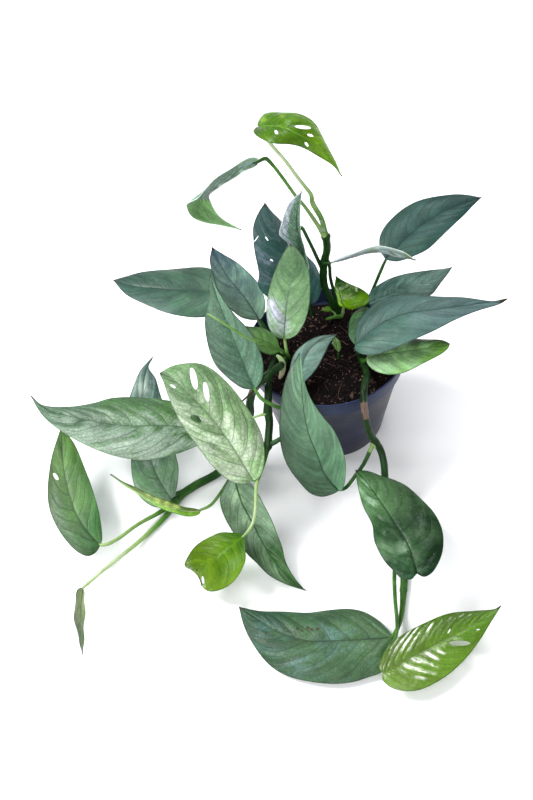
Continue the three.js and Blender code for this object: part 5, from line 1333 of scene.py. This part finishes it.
# %% Stem material
TONES = {
    "vine_back": [(0.2, 0.3), (0.62, 0.64, 0.84, 0.9, 0.88), (0.76, 0.74, 0.62, 0.5, 0.3),
                  (0.4, 0.4), (0.3, 0.35), (0.3, 0.3), (0.3, 0.4), (0.3, 0.5), (0.6, 0.75),
                  (0.4, 0.5), (0.6, 0.7)],
    "stalk_tall_blue": [(0.3, 0.35)],
    "vine_left": [(0.19, 0.2), (0.35, 0.6), (0.75, 0.85, 0.7), (0.35, 0.55), (0.3, 0.36),
                  (0.3, 0.35), (0.3, 0.3), (0.7, 0.8)],
    "stalk_left_upright": [(0.35, 0.5), (0.35, 0.45)],
    "vine_floor": [(0.28, 0.26, 0.22, 0.3, 0.4), (0.4, 0.58, 0.75, 0.75), (0.42, 0.6, 0.9, 0.85),
                   (0.3, 0.4), (0.4, 0.65), (0.4, 0.6), (0.5, 0.7), (0.4, 0.5),
                   (0.5, 0.6, 0.66), (0.0, 0.0)],
    "vine_right": [(0.2, 0.22, 0.2, 0.2, 0.25, 0.35, 0.42), (0.4, 0.3), (0.4, 0.5),
                   (0.4, 0.5), (0.4, 0.5), (0.35, 0.4), (0.4, 0.5)],
    "crown_right": [(0.2, 0.3), (0.35, 0.4), (0.35, 0.4), (0.35, 0.4)],
    "stalk_shoot_front": [(0.2, 0.4)],
}
MARKS = {
    "pale": {"vine_right": [(371, 448, 6)], "vine_back": [(324, 235, 3)]},
    "silvery": {"vine_back": [(320, 222, 3), (323, 230, 3)]},
    "brown": {"vine_right": [(364, 405, 5), (365, 411, 5), (366, 417, 4)]},
}


def stem_skin():
    """The green epidermis of stems and stalks: softly glossy, with fine lines along it."""
    material, tree = blank_material("stem_epidermis")
    read = {key: add(tree, "Attribute", attribute_name=key).outputs["Fac"]
            for key in ("tone", "reach", "angle", "pale", "silvery", "brown")}
    spot = add(tree, "TexCoord").outputs["Object"]
    clouds = add(tree, "TexNoise", {"Vector": spot, "Scale": 1 / (9 * MM), "Detail": 3.0})
    shift = add(tree, "MapRange", {0: clouds, 1: 0.3, 2: 0.7, 3: -0.06, 4: 0.06})
    tone = add(tree, "Math", {0: read["tone"], 1: shift}, operation="ADD")
    ramp = add(tree, "ValToRGB", {0: tone})
    stops = ((0.0, "34221c"), (0.15, "10240c"), (0.35, "1f4519"), (0.55, "4c7a2e"),
             (0.75, "86a264"), (0.95, "b4c49c"))
    while len(ramp.color_ramp.elements) < len(stops):
        ramp.color_ramp.elements.new(0.5)
    for element, (position, code) in zip(ramp.color_ramp.elements, stops):
        element.position = position
        element.color = linear(code)
    wound = add(tree, "Math", {0: read["angle"], 1: 3.2}, operation="MULTIPLY")
    drawn = add(tree, "Math", {0: read["reach"], 1: 0.09}, operation="MULTIPLY")
    fibre = add(tree, "CombineXYZ", {0: wound, 1: drawn})
    lines = add(tree, "TexNoise", {"Vector": fibre, "Scale": 1.5, "Detail": 4.0})
    light = add(tree, "MapRange", {0: lines, 1: 0.3, 2: 0.7, 3: 0.7, 4: 1.3})
    colour = ramp
    for key, code in (("pale", "8ba366"), ("silvery", "8d9a90"), ("brown", "745c52")):
        ragged = add(tree, "Math", {0: read[key], 1: 1.3, 2: lines}, operation="MULTIPLY_ADD")
        share = add(tree, "MapRange", {0: ragged, 1: 1.3, 2: 1.85, 3: 0.0, 4: 0.9})
        colour = add(tree, "Mix", {0: share, 6: colour, 7: linear(code)}, **BLEND).outputs[2]
    colour = add(tree, "VectorMath", {0: colour, "Scale": light}, operation="SCALE")
    rough = add(tree, "MapRange", {0: lines, 1: 0.3, 2: 0.7, 3: 0.22, 4: 0.4})
    relief = add(tree, "Bump", {"Height": lines, "Strength": 0.5, "Distance": 0.25 * MM})
    shader = add(tree, "BsdfPrincipled", {"Base Color": colour, "Roughness": rough,
                                          "Normal": relief, "IOR": WAX_IOR,
                                          "Specular IOR Level": 0.2})
    add(tree, "OutputMaterial", {"Surface": shader})
    return material


STEM_SKIN = stem_skin()
print(STEM_SKIN.name, "ready")

# %% [markdown]
# A stalk runs on a little under the midrib of its leaf, where it thins out, so
# leaf and stalk meet the way they grow.

# %% Stems
UNDER_MIDRIB = (0.015, 0.04, 0.075)
THINNING = (0.8, 0.55, 0.3)
VINE_RADIUS = 2.2
NODE_REACH = 5
STALK_FLARE = 0.35


def run_marks(run):
    """The marks of a run, led on under the midrib of the leaf that it carries."""
    path, leaf = run
    marks = list(path)
    if leaf is None:
        return marks
    blade = BLADES[leaf]
    t = np.array(UNDER_MIDRIB)
    spots = blade.surface(t, np.zeros(len(t)))
    normal = blade.skeleton(t)[-1]
    side = 1 if leaf in UNDERSIDES else -1
    last = path[-1][3]
    for spot, up, share in zip(spots, normal * blade.facing, THINNING):
        low = spot + side * up * (0.5 * share * last + 0.2)
        u, v = pixel_of(low[None])[0]
        marks.append((u, v, low[2], share * last))
    return marks


def node_spots(path, starts):
    """How far along a path the other runs of its stem leave it."""
    line = Curve(place_marks(path))
    shares = np.linspace(0, 1, 400)
    trail = line.along(shares)
    gaps = [np.linalg.norm(trail - start, axis=1) for start in starts]
    return [shares[gap.argmin()] * line.length for gap in gaps if gap.min() < NODE_REACH]


def make_stem(name, runs):
    """The skin of one stem with its stalks, and its measures for the material."""
    parts, notes = [], []
    paths = [run_marks(run) for run in runs]
    starts = [place_marks(path[0]) for path in paths]
    for k, (path, steps) in enumerate(zip(paths, TONES[name])):
        vine = max(mark[3] for mark in path) > VINE_RADIUS
        nodes = node_spots(path, starts[:k] + starts[k + 1:]) if vine else []
        points, faces, reach, angle = tube(path, VINE_SIDES if vine else STALK_SIDES, nodes,
                                           STALK_FLARE if k else 0.0)
        parts.append((points, faces))
        tone = np.interp(reach / max(reach.max(), 1), np.linspace(0, 1, len(steps)), steps)
        notes.append(np.stack([reach, angle, tone], 1))
    points, faces = combined(parts, "UNION")
    piece = new_piece(name + "_skin", points, faces, STEM_SKIN, [name])
    samples = np.concatenate([part[0] for part in parts])
    notes = np.concatenate(notes)
    tree = KDTree(len(samples))
    for k, point in enumerate(samples):
        tree.insert(point, k)
    tree.balance()
    near = [tree.find(point)[1] for point in points]
    for k, key in enumerate(("reach", "angle", "tone")):
        store(piece.data, key, notes[near, k])
    for key, touches in MARKS.items():
        painted(piece.data, key, points, touches.get(name, ()), 0.75, 1.05)
    return piece


for name, runs in STEMS.items():
    piece = make_stem(name, runs)
    print(piece.name, len(runs), "runs,", len(piece.data.polygons), "faces")

# %% [markdown]
# A pale dry sheath hangs from the crown. It once wrapped a young leaf, and is
# now a thin curled strip, so it is a small sheet of its own, bent round its
# length and closed at the edges.

# %% Dried sheath
SHEATH = ((276.8, 355.4, 97, 1.0), (280, 358, 97, 1.9), (282.3, 362, 95, 2.4),
          (282.6, 368, 92, 2.5), (281.6, 374, 89, 2.1), (279.4, 379, 86.5, 0.9))
SHEATH_CURL = 1.1
SHEATH_MM = 0.35
SHEATH_ROWS = 22
SHEATH_COLUMNS = 11


def sheath_skin():
    """Dry parchment-like sheath, pale green going to straw at its end."""
    material, tree = blank_material("dried_sheath_skin")
    spot = add(tree, "TexCoord").outputs["Object"]
    down = add(tree, "Attribute", attribute_name="reach").outputs["Fac"]
    round_it = add(tree, "Attribute", attribute_name="angle").outputs["Fac"]
    drawn = add(tree, "Math", {0: down, 1: 0.08}, operation="MULTIPLY")
    wound = add(tree, "Math", {0: round_it, 1: 5.0}, operation="MULTIPLY")
    fibre = add(tree, "CombineXYZ", {0: wound, 1: drawn})
    lines = add(tree, "TexNoise", {"Vector": fibre, "Scale": 1.5, "Detail": 4.0})
    aged = add(tree, "MapRange", {0: down, 1: 6.0, 2: 20.0})
    colour = add(tree, "Mix", {0: aged, 6: linear("8fa873"), 7: linear("a39a7c")},
                 **BLEND).outputs[2]
    light = add(tree, "MapRange", {0: lines, 1: 0.3, 2: 0.7, 3: 0.6, 4: 1.2})
    colour = add(tree, "VectorMath", {0: colour, "Scale": light}, operation="SCALE")
    clouds = add(tree, "TexNoise", {"Vector": spot, "Scale": 1 / (2 * MM)})
    rough = add(tree, "MapRange", {0: clouds, 1: 0.3, 2: 0.7, 3: 0.5, 4: 0.75})
    relief = add(tree, "Bump", {"Height": lines, "Strength": 0.7, "Distance": 0.2 * MM})
    shader = add(tree, "BsdfPrincipled", {"Base Color": colour, "Roughness": rough,
                                          "Normal": relief, "IOR": WAX_IOR})
    add(tree, "OutputMaterial", {"Surface": shader})
    return material


spine = Curve(place_marks(SHEATH))
shares = np.linspace(0, 1, SHEATH_ROWS)
centres = spine.along(shares)
ahead = unit(np.gradient(centres, axis=0))
across = unit(np.cross(ahead, EYE - centres))
outward = np.cross(across, ahead)
reach = np.interp(shares, np.linspace(0, 1, len(SHEATH)), [mark[3] for mark in SHEATH])
turns = np.linspace(-1, 1, SHEATH_COLUMNS) * SHEATH_CURL
rings = []
for offset in (0.0, -SHEATH_MM):
    radius = (reach / math.sin(SHEATH_CURL))[:, None] + offset
    rings.append(centres[:, None] + (radius * np.sin(turns))[..., None] * across[:, None]
                 + (radius * (np.cos(turns) - math.cos(SHEATH_CURL)))[..., None]
                 * outward[:, None])
wide = len(turns)
count = len(shares) * wide
faces = []
for i in range(len(shares) - 1):
    for j in range(wide - 1):
        a = i * wide + j
        faces.append((a, a + 1, a + 1 + wide, a + wide))
        faces.append((count + a, count + a + wide, count + a + 1 + wide, count + a + 1))
border = [*range(wide), *range(2 * wide - 1, count, wide),
          *range(count - 2, count - wide - 1, -1), *range(count - 2 * wide, 0, -wide)]
for a, b in zip(border, border[1:] + border[:1]):
    faces.append((b, a, a + count, b + count))
sheath = new_piece("dried_sheath", np.concatenate([ring.reshape(-1, 3) for ring in rings]),
                   faces, sheath_skin(), ())
along = np.repeat(shares * spine.length, wide)
round_it = np.tile(turns, len(shares))
store(sheath.data, "reach", np.tile(along, 2))
store(sheath.data, "angle", np.tile(round_it, 2))
print(sheath.name, len(faces), "faces")

# %% [markdown]
# ## The pot
# A 12 cm nursery pot is thin moulded polypropylene, slate blue-grey with a satin
# face. A lathe turns its profile, given as radius and height, with rounded edges
# at the rim, the band and the foot. The drainage holes are cut out of the base
# with a Boolean.

# %% Pot
POT_SIDES = 144
POT_PROFILE = (
    (0, 0), (23.4, 0), (24, 0.2), (24.9, 2.3), (25.4, 2.5), (36.6, 2.5), (37.1, 2.3),
    (37.9, 0.3), (38.4, 0), (41.0, 0), (41.7, 0.25), (42, 0.8), (45, 16.2), (50, 41),
    (56.3, 71.5), (56.55, 71.9), (57.0, 72), (57.9, 72.0), (58.3, 72.25), (58.42, 72.8),
    (59.2, 79), (59.95, 85.0), (59.93, 85.5), (59.7, 85.85), (59.4, 86), (59.0, 85.95),
    (58.75, 85.7), (58.2, 81.5), (57.2, 74.4), (56.8, 73.3), (55.9, 72.5), (55.1, 71.6),
    (50, 46), (45, 21), (41.5, 4.6), (41, 4.2), (40.3, 4.1), (0, 4.1),
)
DRAIN_CIRCLE = 31
DRAIN_RADIUS = 4
DRAIN_SIDES = 32
DRAINS = 8
SHARP_EDGE = math.radians(50)


def turned_faces(rings, sides):
    """The faces of a point on the axis, some rings, and another point on the axis."""
    faces, last = [], 1 + (rings - 1) * sides
    for k in range(sides):
        after = (k + 1) % sides
        faces.append((0, 1 + after, 1 + k))
        for a in range(1, last, sides):
            faces.append((a + k, a + after, a + sides + after, a + sides + k))
        faces.append((last + k, last + after, last + sides))
    return faces


def lathe(profile, sides):
    """A closed turned body. The first and last profile points lie on the axis."""
    angles = np.linspace(0, 2 * math.pi, sides, endpoint=False)
    points = [(0, 0, profile[0][1])]
    for r, z in profile[1:-1]:
        points += [(r * math.cos(a), r * math.sin(a), z) for a in angles]
    points.append((0, 0, profile[-1][1]))
    return np.array(points, float), turned_faces(len(profile) - 2, sides)


def plug(turn):
    """An upright cylinder that cuts a drainage hole at an angle round the base."""
    angles = np.linspace(0, 2 * math.pi, DRAIN_SIDES, endpoint=False)
    x = DRAIN_CIRCLE * math.cos(turn) + DRAIN_RADIUS * np.cos(angles)
    y = DRAIN_CIRCLE * math.sin(turn) + DRAIN_RADIUS * np.sin(angles)
    rings = [np.stack([x, y, np.full(DRAIN_SIDES, z)], 1) for z in (-1, 7)]
    return np.concatenate(rings), ring_faces(2, DRAIN_SIDES)


def pot_plastic():
    """Moulded polypropylene with a satin face, a little dust, and painted shade low on the wall.
    """
    material, tree = blank_material("moulded_polypropylene")
    spot = add(tree, "TexCoord").outputs["Object"]
    parts = add(tree, "SeparateXYZ", {0: spot})
    # Painted shade: the wall is darker below the band, and the band above is lighter.
    height = add(tree, "MapRange", {0: parts.outputs[2], 1: 66 * MM, 2: 76 * MM})
    clouds = add(tree, "TexNoise", {"Vector": spot, "Scale": 1 / (35 * MM),
                                    "Detail": 5.0, "Roughness": 0.6})
    colour = add(tree, "Mix", {0: height, 6: linear("0c132a"), 7: linear("222c47")},
                 **BLEND).outputs[2]
    dusty = add(tree, "MapRange", {0: clouds, 1: 0.45, 2: 0.75, 3: 0.0, 4: 0.22})
    colour = add(tree, "Mix", {0: dusty, 6: colour, 7: linear("454e66")}, **BLEND).outputs[2]
    grain = add(tree, "TexNoise", {"Vector": spot, "Scale": 1 / (0.9 * MM), "Detail": 2.0})
    squashed = add(tree, "Mapping", {0: spot, 3: (1.0, 1.0, 8.0)})
    scuffs = add(tree, "TexNoise", {"Vector": squashed, "Scale": 1 / (12 * MM),
                                    "Detail": 6.0, "Roughness": 0.7})
    rough = add(tree, "MapRange", {0: scuffs, 1: 0.35, 2: 0.75, 3: 0.3, 4: 0.46})
    relief = add(tree, "Bump", {"Height": grain, "Strength": 0.25, "Distance": 0.15 * MM})
    shader = add(tree, "BsdfPrincipled", {"Base Color": colour, "Roughness": rough,
                                          "Normal": relief, "IOR": 1.49,
                                          "Specular IOR Level": 0.17})
    add(tree, "OutputMaterial", {"Surface": shader})
    return material


plugs = [plug(2 * math.pi * (k + 0.5) / DRAINS) for k in range(DRAINS)]
points, faces = combined([lathe(POT_PROFILE, POT_SIDES), *plugs], "DIFFERENCE")
pot = new_piece("nursery_pot", points, faces, pot_plastic(), ["pot"])
pot.data.set_sharp_from_angle(angle=SHARP_EDGE)
print(pot.name, len(pot.data.polygons), "faces")

# %% [markdown]
# ## The soil
# Peat mix fills the pot to the band. Its top is a crumbly surface with crumbs of
# all sizes, so it is displaced by layered noise, and the finest grain is left to
# the material. Chips of bark and fine roots lie on it.

# %% Soil
SOIL_EDGE = 53.6
SOIL_TOP = 74.0
SOIL_MOUND = 2.5
SOIL_RINGS = 70
SOIL_TURNS = 200
SOIL_FLANK = ((54.6, 71), (52, 58), (41.2, 4.6))
CLOD_MM, CLOD_RISE = 11, 1.1
CRUMB_MM, CRUMB_RISE = 2.6, 1.3


def soil_height(x, y):
    """The height of the soil's surface in millimetres."""
    r = math.hypot(x, y) / SOIL_EDGE
    spot = Vector((x, y, 3.0))
    clods = noise.fractal(spot / CLOD_MM, 0.7, 2.1, 5) * CLOD_RISE
    crumbs = abs(noise.noise(spot / CRUMB_MM)) * CRUMB_RISE
    return SOIL_TOP + SOIL_MOUND * (1 - r * r) + (clods + crumbs - 0.6) * (1 - r ** 6)


def peat():
    """Dark peat with brown fibres and a few pale flecks."""
    material, tree = blank_material("peat_mix")
    spot = add(tree, "TexCoord").outputs["Object"]
    clumps = add(tree, "TexNoise", {"Vector": spot, "Scale": 1 / (7 * MM), "Detail": 6.0,
                                    "Roughness": 0.7})
    shade = add(tree, "MapRange", {0: clumps, 1: 0.3, 2: 0.72})
    colour = add(tree, "Mix", {0: shade, 6: linear("060406"), 7: linear("170f0d")},
                 **BLEND).outputs[2]
    cells = add(tree, "TexVoronoi", {"Vector": spot, "Scale": 1 / (1.3 * MM)})
    tint = add(tree, "SeparateColor", {0: cells.outputs["Color"]})
    flecked = add(tree, "Math", {0: tint, 1: 0.9}, operation="GREATER_THAN")
    near = add(tree, "Math", {0: cells.outputs["Distance"], 1: 0.35}, operation="LESS_THAN")
    fleck = add(tree, "Math", {0: flecked, 1: near}, operation="MULTIPLY")
    some = add(tree, "Math", {0: fleck, 1: 0.6}, operation="MULTIPLY")
    colour = add(tree, "Mix", {0: some, 6: colour, 7: linear("86706c")}, **BLEND).outputs[2]
    grain = add(tree, "TexNoise", {"Vector": spot, "Scale": 1 / (1.2 * MM), "Detail": 5.0,
                                   "Roughness": 0.75})
    rough = add(tree, "MapRange", {0: clumps, 1: 0.3, 2: 0.7, 3: 0.82, 4: 0.98})
    relief = add(tree, "Bump", {"Height": grain, "Strength": 1.0, "Distance": 0.8 * MM})
    shader = add(tree, "BsdfPrincipled", {"Base Color": colour, "Roughness": rough,
                                          "Normal": relief, "IOR": 1.4,
                                          "Specular IOR Level": 0.1})
    add(tree, "OutputMaterial", {"Surface": shader})
    return material


angles = np.linspace(0, 2 * math.pi, SOIL_TURNS, endpoint=False)
soil_points = [(0, 0, soil_height(0, 0))]
for ring in range(1, SOIL_RINGS + 1):
    r = SOIL_EDGE * ring / SOIL_RINGS
    for x, y in [(r * math.cos(a), r * math.sin(a)) for a in angles]:
        soil_points.append((x, y, soil_height(x, y)))
for r, z in SOIL_FLANK:
    soil_points += [(r * math.cos(a), r * math.sin(a), z) for a in angles]
soil_points.append((0, 0, SOIL_FLANK[-1][1]))
# The rings start at the top here, so every face is turned over.
soil_faces = [face[:1] + face[:0:-1]
              for face in turned_faces(SOIL_RINGS + len(SOIL_FLANK), SOIL_TURNS)]
soil = new_piece("peat_fill", soil_points, soil_faces, peat(), ["soil"])
print(soil.name, len(soil.data.polygons), "faces")

# %% [markdown]
# ## Bark and roots on the soil
# Chips are flat crumbs with broken edges, turned at random and half sunk. Root
# fibres are thin bent threads. They are drawn by seed, so that they come out the
# same every time.

# %% Chips and fibres
CHIPS = 1500
FIBRES = 140
CHIP_SIDES = 6
CHIP_TILT = 0.35
CHIP_SPREAD = 51.5
FIBRE_SIDES = 6
FIBRE_STEP = 1.8
FIBRE_SPREAD = 49
FIBRE_LIMIT = 51
SEED = 11


def bark():
    """Weathered bark and dry root, each chip in its own brown."""
    material, tree = blank_material("composted_bark")
    spot = add(tree, "TexCoord").outputs["Object"]
    own = add(tree, "Attribute", attribute_name="own").outputs["Fac"]
    ramp = add(tree, "ValToRGB", {0: own})
    for position, code in ((0.5, "140f0e"), (0.78, "2a201b"), (0.92, "4d3d35")):
        ramp.color_ramp.elements.new(position).color = linear(code)
    ramp.color_ramp.elements[0].color = linear("0a0808")
    ramp.color_ramp.elements[-1].color = linear("8d7466")
    fibre = add(tree, "TexNoise", {"Vector": spot, "Scale": 1 / (1.5 * MM), "Detail": 5.0,
                                   "Roughness": 0.7})
    light = add(tree, "MapRange", {0: fibre, 1: 0.3, 2: 0.7, 3: 0.6, 4: 1.3})
    colour = add(tree, "VectorMath", {0: ramp, "Scale": light}, operation="SCALE")
    relief = add(tree, "Bump", {"Height": fibre, "Strength": 0.8, "Distance": 0.3 * MM})
    rough = add(tree, "MapRange", {0: fibre, 1: 0.3, 2: 0.7, 3: 0.75, 4: 0.95})
    shader = add(tree, "BsdfPrincipled", {"Base Color": colour, "Roughness": rough,
                                          "Normal": relief, "IOR": 1.4,
                                          "Specular IOR Level": 0.1})
    add(tree, "OutputMaterial", {"Surface": shader})
    return material


BARK = bark()
rng = np.random.default_rng(SEED)
points, faces, own = [], [], []
for _ in range(CHIPS):
    r = CHIP_SPREAD * math.sqrt(rng.uniform())
    a = rng.uniform(0, 2 * math.pi)
    x, y = r * math.cos(a), r * math.sin(a)
    size = 0.2 + 1.35 * rng.uniform() ** 5
    thick = 0.25 + 0.25 * size * rng.uniform()
    long_by = rng.uniform(1.2, 3.4)
    yaw = rng.uniform(0, 2 * math.pi)
    tilt = Matrix.Rotation(rng.normal(0, CHIP_TILT), 3, "X")
    tilt = tilt @ Matrix.Rotation(rng.normal(0, CHIP_TILT), 3, "Y")
    base = len(points)
    centre = Vector((x, y, soil_height(x, y) + 0.25 * thick))
    for level, shrink in ((-0.5, 0.85), (0.1, 1.0), (0.5, 0.75)):
        for k in range(CHIP_SIDES):
            angle = 2 * math.pi * k / CHIP_SIDES
            reach = size * shrink * rng.uniform(0.7, 1.15)
            flat = Vector((reach * long_by * math.cos(angle), reach * math.sin(angle),
                           thick * (level + rng.uniform(-0.15, 0.15))))
            points.append(centre + tilt @ (Matrix.Rotation(yaw, 3, "Z") @ flat))
    faces += ring_faces(3, CHIP_SIDES, base)
    own += [rng.uniform()] * (3 * CHIP_SIDES)
chips = new_piece("bark_chips", points, faces, BARK, ())
store(chips.data, "own", own)
print(chips.name, CHIPS, "chips")

points, faces, own = [], [], []
for _ in range(FIBRES):
    r = FIBRE_SPREAD * math.sqrt(rng.uniform())
    a = rng.uniform(0, 2 * math.pi)
    heading = rng.uniform(0, 2 * math.pi)
    bend = rng.normal(0, 0.25)
    thin = rng.uniform(0.1, 0.25)
    x, y = r * math.cos(a), r * math.sin(a)
    line = []
    for _ in range(int(rng.uniform(5, 12))):
        if math.hypot(x, y) > FIBRE_LIMIT:
            break
        line.append((x, y, soil_height(x, y) + thin + rng.uniform(-0.2, 0.5)))
        x += FIBRE_STEP * math.cos(heading)
        y += FIBRE_STEP * math.sin(heading)
        heading += bend + rng.normal(0, 0.2)
    if len(line) < 4:
        continue
    line = np.array(line)
    ahead = unit(np.gradient(line, axis=0))
    across = unit(np.cross(ahead, (0, 0, 1.0)))
    above = np.cross(across, ahead)
    base = len(points)
    for k in range(len(line)):
        taper = thin * (0.3 + 0.7 * math.sin(math.pi * (k + 0.5) / len(line)))
        for n in range(FIBRE_SIDES):
            turned = 2 * math.pi * n / FIBRE_SIDES
            points.append(tuple(line[k] + taper * (math.cos(turned) * across[k]
                                                   + math.sin(turned) * above[k])))
    for k in range(len(line) - 1):
        for n in range(FIBRE_SIDES):
            a = base + FIBRE_SIDES * k + n
            b = base + FIBRE_SIDES * k + (n + 1) % FIBRE_SIDES
            faces.append((a, a + FIBRE_SIDES, b + FIBRE_SIDES, b))
    faces.append(tuple(range(base, base + FIBRE_SIDES)))
    faces.append(tuple(range(len(points) - FIBRE_SIDES, len(points)))[::-1])
    own += [rng.uniform(0.5, 0.97)] * (len(points) - base)
fibres = new_piece("root_fibres", points, faces, BARK, ())
store(fibres.data, "own", own)
print(fibres.name, len(fibres.data.polygons), "faces")

# %% [markdown]
# ## The floor and the light
# A plain white table and soft studio light. The key panel above and to the left
# gives the gloss on the leaves and the soft shadows to the right. A wide panel in
# front, a small one behind and the white surroundings fill them.

# %% Floor and lights
# Matt white paper gives the eye an even ground that only shadows draw on.
FLOOR_MM = 8000
PLANT = Vector((-0.04, -0.08, 0.08))
material, tree = blank_material("matt_white_paper")
spot = add(tree, "TexCoord").outputs["Object"]
fleece = add(tree, "TexNoise", {"Vector": spot, "Scale": 40.0, "Detail": 3.0})
white = add(tree, "Mix", {0: fleece, 6: linear("fbfbfc"), 7: linear("fdfdfe")},
            **BLEND).outputs[2]
shader = add(tree, "BsdfPrincipled", {"Base Color": white, "Roughness": 0.9})
add(tree, "OutputMaterial", {"Surface": shader})
half = FLOOR_MM / 2
floor = plain_object("floor", [(-half, -half, 0), (half, -half, 0), (half, half, 0),
                               (-half, half, 0)], [(0, 1, 2, 3)])
floor.data.materials.append(material)
floor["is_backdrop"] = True

world = bpy.data.worlds.new("studio")
bpy.context.scene.world = world
world.use_nodes = True
world.node_tree.nodes.clear()
sky = add(world.node_tree, "Background", {"Color": (0.95, 0.95, 1.0, 1.0), "Strength": 0.47})
add(world.node_tree, "OutputWorld", {"Surface": sky})


def panel(name, where, size, power):
    """A square lamp that faces the plant."""
    lamp = bpy.data.lights.new(name, "AREA")
    lamp.shape = "SQUARE"
    lamp.size = size
    lamp.energy = power
    item = bpy.data.objects.new(name, lamp)
    item.location = where
    aim = PLANT - item.location
    item.rotation_euler = aim.to_track_quat("-Z", "Y").to_euler()
    bpy.context.scene.collection.objects.link(item)


panel("key", (-1.2, 0.3, 1.5), 0.7, 40)
panel("front", (-0.5, -1.5, 1.5), 1.8, 33)
panel("back", (0.3, 0.9, 1.7), 0.7, 14)
bpy.context.scene.view_settings.view_transform = "Standard"
print("floor and lights ready")

# %% [markdown]
# ## Sizes
# The box of the solids and of the finished model are written down side by side.

# %% Sizes and finish
size = {"cad": CAD_BOX, "scene": [[float(x) for x in corner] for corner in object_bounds()]}
print(size)
